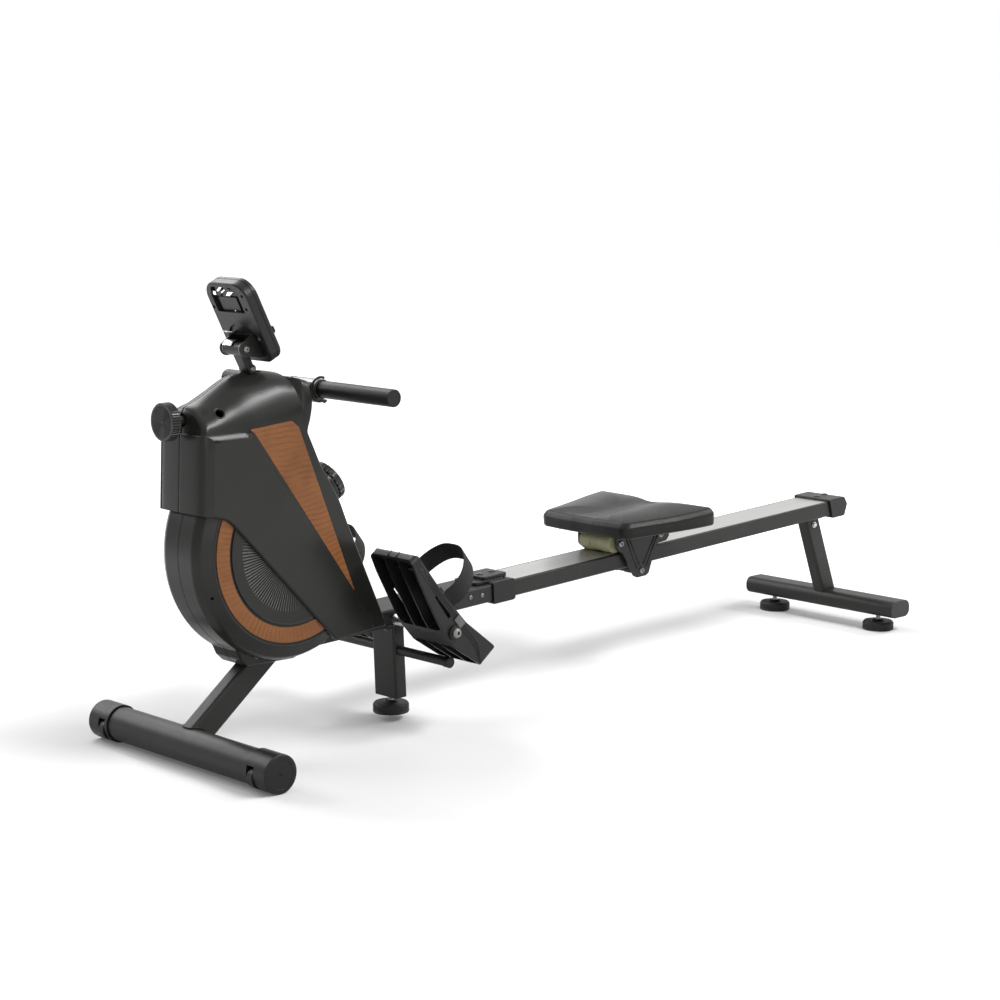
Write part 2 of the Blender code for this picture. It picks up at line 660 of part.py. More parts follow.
def make_rear_stand():
    """The rear leg, the flat-oval rear stabiliser with its end plugs, and two levelling feet."""
    middle = (REAR_STAB_BOTTOM + REAR_STAB_TOP) / 2
    half_height = (REAR_STAB_TOP - REAR_STAB_BOTTOM) / 2
    outline = rounded_box(REAR_STAB_WIDTH / 2, half_height, REAR_STAB_CORNER, 4)
    tube_half = REAR_STAB_HALF_LENGTH - REAR_CAP_THICKNESS
    tube = extrusion("tube", [(REAR_STAB_X + a, middle + b) for a, b in outline], -tube_half, tube_half)
    wall = STAB_WALL
    inner = rounded_box(REAR_STAB_WIDTH / 2 - wall, half_height - wall, REAR_STAB_CORNER - wall, 4)
    hollow = extrusion("hollow", [(REAR_STAB_X + a, middle + b) for a, b in inner], -0.3, 0.3)
    studs = []
    for side in (1, -1):
        stud = rod("stud", PAD_STUD_RADIUS + FIT, -0.03, 0.012, SMALL_TURNS)
        studs.append(moved(stud, (REAR_STAB_X, side * REAR_FOOT_Y, REAR_STAB_BOTTOM)))
    node(cut(tube, hollow, *studs), "rear_stabilizer_tube", "frame_paint")
    plug_outline = rounded_box(
        REAR_STAB_WIDTH / 2 - wall - FIT, half_height - wall - FIT, REAR_STAB_CORNER - wall - FIT, 4)
    for side, word in ((1, "left"), (-1, "right")):
        low, high = sorted((side * (tube_half + FIT), side * REAR_STAB_HALF_LENGTH))
        lid = extrusion("lid", [(REAR_STAB_X + a, middle + b) for a, b in outline], low, high)
        low, high = sorted((side * (tube_half - 0.014), side * (tube_half + 0.002)))
        plug = extrusion("plug", [(REAR_STAB_X + a, middle + b) for a, b in plug_outline], low, high)
        node(joined(lid, plug), "rear_end_plug_" + word, "black_plastic")
        make_pad("rear_foot_" + word, REAR_STAB_X, side * REAR_FOOT_Y, 0.0, REAR_STAB_BOTTOM + 0.010)

    lean = (REAR_LEG_FOOT_X - REAR_LEG_TOP_X) / (REAR_LEG_TOP_HEIGHT - REAR_LEG_FOOT_HEIGHT)
    high, low = rail_top(REAR_LEG_TOP_X), REAR_STAB_BOTTOM
    top = Vector((REAR_LEG_TOP_X - lean * (high - REAR_LEG_TOP_HEIGHT), 0.0, high))
    foot = Vector((REAR_LEG_FOOT_X + lean * (REAR_LEG_FOOT_HEIGHT - low), 0.0, low))
    leg = extrusion("leg", rounded_box(REAR_LEG_DEPTH / 2, REAR_LEG_WIDTH / 2, 0.006), 0.0, (foot - top).length, "z")
    along(leg, top, foot)
    shoe = extrusion(
        "shoe", [(REAR_STAB_X + a, middle + b) for a, b in rounded_box(
            REAR_STAB_WIDTH / 2 + FIT, half_height + FIT, REAR_STAB_CORNER + FIT, 4)], -0.1, 0.1)
    under = block("under", (1.3, -0.1, -0.1), (1.9, 0.1, middle))
    above = block("above", (1.2, -0.1, -RAIL_HEIGHT - FIT), (1.9, 0.1, 0.3))
    cap_room = block("cap_room", (END_CAP_START + END_CAP_SLANT - 0.002, -0.1, -RAIL_HEIGHT - END_CAP_WALL - 2 * FIT),
                     (1.9, 0.1, 0.0))
    cap_room.data.transform(RAIL_TO_MACHINE)
    above.data.transform(RAIL_TO_MACHINE)
    plate = block("plate", (REAR_LEG_TOP_X - 0.036, -0.026, -RAIL_HEIGHT - FIT - LEG_PLATE_THICKNESS),
                  (REAR_LEG_TOP_X + 0.018, 0.026, -RAIL_HEIGHT - FIT))
    plate.data.transform(RAIL_TO_MACHINE)
    node(joined(cut(leg, shoe, under, above, cap_room), plate), "rear_leg", "frame_paint")


HOUSING = [
    (-0.0100, 0.4245), (0.0220, 0.4170), (0.0390, 0.4110), (0.0535, 0.4000),
    (0.2640, 0.1800), (0.3810, 0.1870), (0.2955, 0.3760), (0.2780, 0.4180), (0.2360, 0.4870),
    (0.2115, 0.5395), (0.2210, 0.5830), (0.2200, 0.6700), (-0.0030, 0.6700), (-0.0035, 0.5560),
]
HOUSING_OPEN_EDGES = (0, 1, 2, 3, 4)
ROOF = [
    (-0.0200, 0.5870), (-0.0030, 0.5930), (0.0255, 0.6015), (0.0590, 0.6190), (0.0925, 0.6365),
    (0.1270, 0.6420), (0.1585, 0.6430), (0.1900, 0.6370), (0.2150, 0.6240), (0.2400, 0.6050), (0.4000, 0.6050),
]
FRONT_PLAN = [
    (-0.0100, -0.0100), (-0.0100, 0.0000), (-0.0093, 0.0180), (-0.0078, 0.0340), (-0.0050, 0.0470),
    (-0.0010, 0.0555), (0.0060, 0.0620), (0.0160, 0.0660), (0.5000, 0.0660), (0.5000, -0.0100),
]
FRONT_LEAN = 0.045


def hood(name, seam, narrower):
    """Half of the housing's envelope: flat sides that turn into a hood along the roof line."""
    half = COVER_HALF_WIDTH - narrower
    vertices = []
    for x, ridge in ROOF:
        rise = ridge - narrower - SHOULDER_HEIGHT
        fullness = 1.7 + 1.5 * min(max((x - 0.12) / 0.10, 0.0), 1.0)
        section = [(seam, 0.10), (half, 0.10), (half, SHOULDER_HEIGHT)]
        for share in (0.96, 0.86, 0.70, 0.50, 0.26):
            section.append((half * share, SHOULDER_HEIGHT + rise * (1.0 - share ** fullness) ** 0.68))
        section.append((seam, SHOULDER_HEIGHT + rise))
        vertices += [(x, y, z) for y, z in section]
    count = len(vertices) // len(ROOF)
    faces = [tuple(range(count)), tuple(range(len(vertices) - 1, len(vertices) - count - 1, -1))]
    for station in range(len(ROOF) - 1):
        for index in range(count):
            after = (index + 1) % count
            low, high = station * count, (station + 1) * count
            faces.append((low + index, low + after, high + after, high + index))
    return solid(name, vertices, faces)


def front_plan(name, narrower):
    """The housing seen from above, with its bowed front leaning back as it rises."""
    outline = [(x + narrower, y - narrower) for x, y in FRONT_PLAN]
    made = extrusion(name, outline, 0.0, 0.7, "z")
    for vertex in made.data.vertices:
        if vertex.co.x < 0.4:
            vertex.co.x += (vertex.co.z - HOUSING[0][1]) * FRONT_LEAN
    return made


def knob_boss(name, radius, low, high):
    seat = Vector((TENSION_KNOB_SEAT[0], 0.0, TENSION_KNOB_SEAT[1]))
    out = Vector((math.cos(TENSION_KNOB_ANGLE), 0.0, math.sin(TENSION_KNOB_ANGLE)))
    return along(rod(name, radius, low, high, TURNS), seat, seat + out)


def make_upper_covers():
    """The two halves of the upper housing and the wedge of wood let into each side."""
    side = block("side", (-0.1, FIT / 2, 0.0), (0.6, 0.2, 0.9))
    boss = combined(knob_boss("boss", KNOB_BOSS_RADIUS, -0.03, KNOB_BOSS_HEIGHT), [side], "INTERSECT")
    outer = extrusion("outer", HOUSING, FIT / 2, COVER_HALF_WIDTH + 0.01)
    shell = combined(outer, [hood("hood", FIT / 2, 0.0), front_plan("plan", 0.0)], "INTERSECT")
    shell = joined(shell, boss)
    distances = [-0.05 if index in HOUSING_OPEN_EDGES else COVER_WALL for index in range(len(HOUSING))]
    inside = extrusion("inside", offset_outline(HOUSING, distances), -0.01, COVER_HALF_WIDTH)
    inside = combined(inside, [hood("hood", -0.01, COVER_WALL), front_plan("plan", COVER_WALL)], "INTERSECT")
    hollow = knob_boss("hollow", KNOB_BOSS_RADIUS - COVER_WALL, -0.05, KNOB_BOSS_HEIGHT - COVER_WALL)
    shell = cut(shell, inside, hollow)
    knob_hole = knob_boss("knob_hole", KNOB_STEM_RADIUS + 0.001, 0.0, KNOB_BOSS_HEIGHT + 0.01)
    front_hole = moved(rod("front_hole", FRONT_STEM_RADIUS + 0.001, -0.03, 0.03, SMALL_TURNS),
                       (0, 0, FRONT_KNOB_HEIGHT), "x")
    strap_slot = block("strap_slot", (0.20, -0.02, HANDLE_CENTRE[1] - 0.005), (0.24, 0.0145, HANDLE_CENTRE[1] + 0.005))
    mast_hole = block("mast_hole", (0.105, -0.02, 0.62), (0.149, MAST_WIDTH / 2 + 0.001, 0.66))
    screw_hole = moved(rod("screw_hole", 0.006, -0.03, 0.03, SMALL_TURNS), (0.0425, 0.058, 0.5846), "y")
    shell = cut(shell, knob_hole, front_hole, strap_slot, mast_hole, screw_hole, beam_way())
    top_left, top_right, tip = (0.0880, 0.5558), (0.1760, 0.5630), (0.3090, 0.2546)
    shoulder = (0.1895, 0.5515)
    wedge = [tip, shoulder, (0.1850, 0.5600), top_right, top_left, (0.1000, 0.5500), (0.1080, 0.5420)]
    face = COVER_HALF_WIDTH
    recess = extrusion("recess", wedge, face - INLAY_THICKNESS, face + 0.01)
    shell = cut(shell, recess)
    distances = [FIT] * len(wedge)
    inlay = extrusion("inlay", offset_outline(wedge, distances), face - INLAY_THICKNESS + FIT, face + FIT)
    limit = extrusion("limit", [(-0.1, 0.1), (0.5, 0.1), (0.5, SHOULDER_HEIGHT + 0.009), (-0.1, SHOULDER_HEIGHT + 0.009)],
                      0.0, 0.1)
    inlay = combined(inlay, [limit], "INTERSECT")
    node(mirrored(shell, "twin"), "upper_cover_right", "cover_plastic")
    node(mirrored(inlay, "twin"), "wood_wedge_right", "wood")
    node(shell, "upper_cover_left", "cover_plastic")
    node(inlay, "wood_wedge_left", "wood")


def make_round_covers():
    """The two halves of the flywheel cover, its chin round the front leg and the crescent of wood."""
    x, z = COVER_CENTRE
    radius = ROUND_COVER_RADIUS
    half = ROUND_COVER_HALF
    profile = [
        (0.0, FIT / 2), (radius, FIT / 2), (radius, 0.036), (radius - 0.004, 0.046),
        (CRESCENT_OUTER + 0.006, half), (0.0, half),
    ]
    chin = [
        (0.0680, 0.2300), (0.0700, 0.1925), (0.0767, 0.1840), (0.0840, 0.1685), (0.0980, 0.1555),
        (0.1950, 0.1540), (0.2100, 0.1580), (0.2250, 0.1700),
    ]
    outer = joined(moved(turned("outer", profile, 40), (x, 0, z), "y"), extrusion("chin", chin, FIT / 2, 0.036))
    wall = COVER_WALL
    profile = [
        (0.0, -0.01), (radius - wall, -0.01), (radius - wall, 0.035), (radius - wall - 0.004, 0.043),
        (CRESCENT_OUTER + 0.004, half - wall), (0.0, half - wall),
    ]
    inner_chin = [
        (0.0710, 0.2300), (0.0728, 0.1940), (0.0795, 0.1850), (0.0864, 0.1704), (0.0992, 0.1585),
        (0.1943, 0.1570), (0.2080, 0.1606), (0.2220, 0.1720),
    ]
    inside = joined(moved(turned("inside", profile, 32), (x, 0, z), "y"),
                    extrusion("inner_chin", inner_chin, -0.01, 0.033))
    shell = cut(outer, inside)
    slant = math.atan2(HOUSING[3][1] - HOUSING[4][1], HOUSING[4][0] - HOUSING[3][0])
    away = (math.sin(slant) * COVER_OVERLAP, math.cos(slant) * COVER_OVERLAP)
    upper = (HOUSING[3][0] + away[0], HOUSING[3][1] + away[1])
    lower = (HOUSING[4][0] + away[0], HOUSING[4][1] + away[1])
    stretch = (lower[0] - upper[0], lower[1] - upper[1])
    hidden = [
        (-0.10, upper[1] + 0.03), (upper[0] - 0.03, upper[1] + 0.03), upper,
        (lower[0] + stretch[0] * 0.5, lower[1] + stretch[1] * 0.5), (0.60, 0.60), (-0.10, 0.60),
    ]
    leg_way = extrusion("leg_way", rounded_box(LEG_DEPTH / 2 + 0.001, LEG_WIDTH / 2 + 0.001, LEG_CORNER), 0.0, 0.3, "z")
    start = Vector((0.0, 0.0, STAB_HEIGHT + 0.004))
    along(leg_way, start, start + Vector((math.cos(LEG_ANGLE), 0.0, math.sin(LEG_ANGLE))))
    shell = cut(shell, extrusion("hidden", hidden, -0.02, 0.1), leg_way, beam_way())
    first, last = 145, 300
    steps = 22
    ring = arc(COVER_CENTRE, CRESCENT_OUTER, first, last, steps) + arc(COVER_CENTRE, CRESCENT_INNER, last, first, steps)
    shell = cut(shell, extrusion("recess", ring, half - INLAY_THICKNESS, half + 0.01))
    slim = 0.15
    ring = arc(COVER_CENTRE, CRESCENT_OUTER - FIT, first + slim, last - slim, steps)
    ring += arc(COVER_CENTRE, CRESCENT_INNER + FIT, last - slim, first + slim, steps)
    inlay = extrusion("inlay", ring, half - INLAY_THICKNESS + FIT, half + FIT)
    node(mirrored(shell, "twin"), "round_cover_right", "cover_plastic")
    node(mirrored(inlay, "twin"), "wood_crescent_right", "wood")
    node(shell, "round_cover_left", "cover_plastic")
    node(inlay, "wood_crescent_left", "wood")


def make_drive():
    """The frame plates inside the covers, the flywheel, belt drive, strap drum and magnets."""
    wheel_x, wheel_z = FLYWHEEL_CENTRE
    drum_x, drum_z = DRUM_CENTRE
    plate_low = 0.0032
    base = [(0.236, rail_top(0.236) + plate_low), (0.340, rail_top(0.340) + plate_low)]
    outline = base + [
        (0.290, 0.330), (0.222, 0.462), (0.196, 0.530), (0.206, 0.5800), (0.204, 0.6080), (0.150, 0.6100),
        (0.095, 0.6080), (0.086, 0.5300), (0.096, 0.4950), (0.140, 0.360), (0.142, 0.325), (0.186, 0.318),
    ]
    inner = FRAME_PLATE_INNER
    outer = inner + FRAME_PLATE_THICKNESS
    frame = extrusion("plate", outline, inner, outer)
    other = extrusion("plate", outline, -outer, -inner)
    floor = block("floor", (0.236, -outer, FIT), (0.340, outer, 0.0045))
    floor.data.transform(RAIL_TO_MACHINE)
    tie = block("tie", (0.100, -outer, 0.6040), (0.170, outer, 0.6100))
    pivot = magnet_pivot()
    ears = []
    for side in (1, -1):
        low, high = sorted((side * inner, side * outer))
        ear = [
            (pivot[0] - 0.008, pivot[2] - 0.006), (0.108, 0.478), (0.100, 0.506),
            (pivot[0] + 0.004, pivot[2] + 0.009), (pivot[0] - 0.006, pivot[2] + 0.006),
        ]
        ears.append(extrusion("ear", ear, low, high))
    frame = joined(frame, other, floor, tie, *ears)
    bores = []
    for centre in (FLYWHEEL_CENTRE, DRUM_CENTRE):
        hole = rod("bore", AXLE_RADIUS + FIT, -0.1, 0.1, SMALL_TURNS)
        bores.append(moved(hole, (centre[0], 0, centre[1]), "y"))
    frame = cut(frame, *bores)
    pins = []
    for x, z in (GUIDE_CENTRE, (pivot[0], pivot[2])):
        pins.append(moved(rod("pin", PIN_RADIUS, -outer - 0.002, outer + 0.002, SMALL_TURNS), (x, 0, z), "y"))
    node(joined(frame, *pins), "flywheel_frame", "frame_paint")

    rim_in = FLYWHEEL_RADIUS - FLYWHEEL_RIM_DEPTH
    pulley_y = outer + 0.0025
    profile = [
        (AXLE_RADIUS + FIT, -FLYWHEEL_HUB_HALF), (FLYWHEEL_HUB_RADIUS, -FLYWHEEL_HUB_HALF),
        (FLYWHEEL_HUB_RADIUS, -FLYWHEEL_WEB_HALF), (rim_in, -FLYWHEEL_WEB_HALF), (rim_in, -FLYWHEEL_RIM_HALF),
        (FLYWHEEL_RADIUS, -FLYWHEEL_RIM_HALF), (FLYWHEEL_RADIUS, FLYWHEEL_RIM_HALF),
        (rim_in, FLYWHEEL_RIM_HALF), (rim_in, FLYWHEEL_WEB_HALF), (FLYWHEEL_HUB_RADIUS, FLYWHEEL_WEB_HALF),
        (FLYWHEEL_HUB_RADIUS, FLYWHEEL_HUB_HALF), (AXLE_RADIUS + FIT, FLYWHEEL_HUB_HALF),
    ]
    centre = (wheel_x, 0, wheel_z)
    node(moved(turned("flywheel", profile, SMALL_TURNS), centre, "y"), "flywheel", "cast_iron", None, centre)
    pulley_end = pulley_y + PULLEY_WIDTH
    axle_end = outer + 0.004
    profile = [
        (0.0, -axle_end), (AXLE_RADIUS, -axle_end), (AXLE_RADIUS, pulley_y), (SMALL_PULLEY_RADIUS, pulley_y),
        (SMALL_PULLEY_RADIUS, pulley_end), (0.0, pulley_end),
    ]
    node(moved(turned("pinion", profile, SMALL_TURNS), centre, "y"), "flywheel_axle", "steel", None, centre)

    rim = BIG_PULLEY_RADIUS
    profile = [
        (0.0, -axle_end), (AXLE_RADIUS, -axle_end), (AXLE_RADIUS, pulley_y), (0.016, pulley_y),
        (0.016, pulley_y + 0.004), (rim - 0.008, pulley_y + 0.004), (rim - 0.008, pulley_y), (rim, pulley_y),
        (rim, pulley_end), (0.0, pulley_end),
    ]
    centre = (drum_x, 0, drum_z)
    node(moved(turned("pulley", profile, SMALL_TURNS), centre, "y"), "belt_pulley", "black_plastic", None, centre)
    half = DRUM_HALF_WIDTH
    profile = [
        (AXLE_RADIUS + FIT, -half - 0.003), (DRUM_FLANGE_RADIUS, -half - 0.003), (DRUM_FLANGE_RADIUS, -half),
        (DRUM_RADIUS, -half), (DRUM_RADIUS, half), (DRUM_FLANGE_RADIUS, half), (DRUM_FLANGE_RADIUS, half + 0.003),
        (AXLE_RADIUS + FIT, half + 0.003),
    ]
    node(moved(turned("drum", profile, SMALL_TURNS), centre, "y"), "strap_drum", "black_plastic", None, centre)
    half = STRAP_WIDTH / 2 + 0.002
    profile = [(PIN_RADIUS + FIT, -half), (GUIDE_RADIUS, -half), (GUIDE_RADIUS, half), (PIN_RADIUS + FIT, half)]
    centre = (GUIDE_CENTRE[0], 0, GUIDE_CENTRE[1])
    node(moved(turned("guide", profile, SMALL_TURNS), centre, "y"), "strap_guide_roller", "black_plastic", None, centre)

    node(make_belt(pulley_y), "drive_belt", "rubber")
    node(make_pull_strap(), "pull_strap", "webbing")

    inner_radius = FLYWHEEL_RADIUS + MAGNET_GAP
    magnets = []
    for angle in (168, 182, 196, 210):
        points = arc(FLYWHEEL_CENTRE, inner_radius, angle - 5, angle + 5, 2)
        points += arc(FLYWHEEL_CENTRE, inner_radius + MAGNET_DEPTH, angle + 5, angle - 5, 2)
        magnets.append(extrusion("magnet", points, -0.010, 0.010))
    seat = inner_radius + MAGNET_DEPTH - 0.0005
    points = arc(FLYWHEEL_CENTRE, seat, 142, 218, 14) + arc(FLYWHEEL_CENTRE, seat + MAGNET_ARM_THICKNESS, 218, 142, 14)
    arm = extrusion("arm", points, -0.013, 0.013)
    pivot = magnet_pivot()
    barrel = moved(rod("barrel", 0.007, -0.013, 0.013, SMALL_TURNS), pivot, "y")
    pin = moved(rod("pin", PIN_RADIUS + FIT, -0.05, 0.05, SMALL_TURNS), pivot, "y")
    node(cut(joined(arm, barrel, *magnets), pin), "magnet_bracket", "steel", None, pivot)


def magnet_pivot():
    """The magnet bracket's axis: on the bracket's own arc, above the front of the flywheel."""
    reach = FLYWHEEL_RADIUS + MAGNET_GAP + MAGNET_DEPTH + FIT + MAGNET_ARM_THICKNESS / 2
    angle = math.radians(140)
    return (FLYWHEEL_CENTRE[0] + reach * math.cos(angle), 0.0, FLYWHEEL_CENTRE[1] + reach * math.sin(angle))


def belt_outline(first, first_radius, second, second_radius):
    """The outer tangents round two pulleys."""
    apart = math.hypot(second[0] - first[0], second[1] - first[1])
    heading = math.degrees(math.atan2(second[1] - first[1], second[0] - first[0]))
    spread = math.degrees(math.acos((first_radius - second_radius) / apart))
    points = arc(first, first_radius, heading + spread, heading + 360 - spread, 20)
    return points + arc(second, second_radius, heading - spread, heading + spread, 12)


def make_belt(pulley_y):
    """One loop round the flywheel's small pulley and the large belt pulley."""
    small = SMALL_PULLEY_RADIUS + PULLEY_GAP
    big = BIG_PULLEY_RADIUS + PULLEY_GAP
    low, high = pulley_y + 0.001, pulley_y + PULLEY_WIDTH - 0.001
    outer = extrusion("outer", belt_outline(
        DRUM_CENTRE, big + BELT_THICKNESS, FLYWHEEL_CENTRE, small + BELT_THICKNESS), low, high)
    inner = extrusion("inner", belt_outline(DRUM_CENTRE, big, FLYWHEEL_CENTRE, small), low - 0.01, high + 0.01)
    return cut(outer, inner)


def make_pull_strap():
    """The webbing from the drum over the guide roller to the handle, as one ribbon."""
    drum = DRUM_RADIUS + PULLEY_GAP + STRAP_THICKNESS / 2
    guide = GUIDE_RADIUS + PULLEY_GAP + STRAP_THICKNESS / 2
    apart = math.hypot(GUIDE_CENTRE[0] - DRUM_CENTRE[0], GUIDE_CENTRE[1] - DRUM_CENTRE[1])
    heading = math.degrees(math.atan2(GUIDE_CENTRE[1] - DRUM_CENTRE[1], GUIDE_CENTRE[0] - DRUM_CENTRE[0]))
    spread = math.degrees(math.acos((drum - guide) / apart))
    line = arc(DRUM_CENTRE, drum, heading + spread + 250, heading + spread, 20)
    line += arc(GUIDE_CENTRE, guide, heading + spread, 90, 3)
    line.append((HANDLE_CENTRE[0] - HANDLE_CORE_RADIUS - FIT, GUIDE_CENTRE[1] + guide))
    return ribbon("strap", line, STRAP_THICKNESS, -STRAP_WIDTH / 2, STRAP_WIDTH / 2)


def ribbon(name, line, thickness, low, high, axis="y"):
    """A band of even thickness that follows a line of points."""
    left, right = [], []
    count = len(line)
    for index in range(count):
        before = Vector(line[max(index - 1, 0)])
        after = Vector(line[min(index + 1, count - 1)])
        heading = (after - before).normalized()
        sideways = Vector((-heading.y, heading.x)) * thickness / 2
        point = Vector(line[index])
        left.append(tuple(point + sideways))
        right.append(tuple(point - sideways))
    outline = left + right[::-1]
    return extrusion(name, outline, low, high, axis)


def make_handle():
    """The pull bar with its grips and plugs, and the hook on the housing that holds it."""
    x, z = HANDLE_CENTRE
    core = HOOK_HALF_WIDTH + 0.003
    inner = HANDLE_TUBE_RADIUS
    end = HANDLE_HALF_LENGTH - 0.003
    profile = [
        (0.0, -end), (inner, -end), (inner, -core), (HANDLE_CORE_RADIUS, -core),
        (HANDLE_CORE_RADIUS, core), (inner, core), (inner, end), (0.0, end),
    ]
    node(moved(turned("bar", profile, 24), (x, 0, z), "y"), "handle_bar", "steel")
    profile = [
        (inner + FIT, GRIP_START), (GRIP_RADIUS, GRIP_START), (GRIP_RADIUS, HANDLE_HALF_LENGTH - 0.002),
        (GRIP_RADIUS - 0.002, HANDLE_HALF_LENGTH), (0.0, HANDLE_HALF_LENGTH), (0.0, end + FIT), (inner + FIT, end + FIT),
    ]
    grip = moved(turned("grip", profile, 24), (x, 0, z), "y")
    node(mirrored(grip, "twin"), "handle_grip_right", "foam")
    node(grip, "handle_grip_left", "foam")

    bore = HANDLE_CORE_RADIUS + HOOK_GAP
    outline = arc((x, z), bore, 105, 274, 16) + [(x + 0.0130, z - bore - 0.0010), (x + 0.0150, z - bore - 0.0040)]
    outline += arc((x, z), bore + HOOK_THICKNESS, 270, 105, 14)
    hook = extrusion("hook", outline, -HOOK_HALF_WIDTH, HOOK_HALF_WIDTH)
    root = block("root", (0.2215, -0.024, z - 0.022), (x - bore - 0.001, 0.024, z + 0.012))
    slot = block("slot", (0.20, -STRAP_WIDTH / 2 - 0.002, z - 0.0045), (x - 0.01, STRAP_WIDTH / 2 + 0.002, z + 0.0045))
    node(cut(joined(hook, root), slot), "handle_hook", "black_plastic")


def ribbed_disc(name, radius, thickness, ribs, depth, chamfer):
    """A knob's head: a wheel with shallow ribs round its rim."""
    outline = []
    for step in range(ribs * 2):
        angle = math.pi * step / ribs
        reach = radius if step % 2 == 0 else radius - depth
        outline.append((reach * math.cos(angle), reach * math.sin(angle)))
    head = extrusion(name, outline, 0.0, thickness, "z")
    lathe = [
        (0.0, -0.001), (radius - chamfer, -0.001), (radius + 0.0005, chamfer), (radius + 0.0005, thickness - chamfer),
        (radius - chamfer, thickness), (0.0, thickness),
    ]
    return combined(head, [turned("limit", lathe, 32)], "INTERSECT")


def make_knobs():
    """The front hand knob on its stem, and the tension knob on the user's side."""
    head = ribbed_disc("head", FRONT_KNOB_RADIUS, FRONT_KNOB_THICKNESS, 24, 0.0009, 0.0015)
    stem = rod("stem", FRONT_STEM_RADIUS, -0.038, 0.001, SMALL_TURNS)
    knob = joined(head, stem)
    back = Vector((FRONT_KNOB_FACE_X + FRONT_KNOB_THICKNESS, 0.0, FRONT_KNOB_HEIGHT))
    along(knob, back, back + Vector((-1.0, 0.0, 0.0)))
    node(knob, "front_knob", "black_plastic", None, back)

    head = ribbed_disc("head", TENSION_KNOB_RADIUS, TENSION_KNOB_THICKNESS, 18, 0.0022, 0.003)
    stem = rod("stem", KNOB_STEM_RADIUS, -0.012, 0.001, SMALL_TURNS)
    knob = joined(head, stem)
    out = Vector((math.cos(TENSION_KNOB_ANGLE), 0.0, math.sin(TENSION_KNOB_ANGLE)))
    seat = Vector((TENSION_KNOB_SEAT[0], 0.0, TENSION_KNOB_SEAT[1])) + out * (KNOB_BOSS_HEIGHT + 0.0012)
    along(knob, seat, seat + out)
    node(knob, "tension_knob", "black_plastic", None, seat)


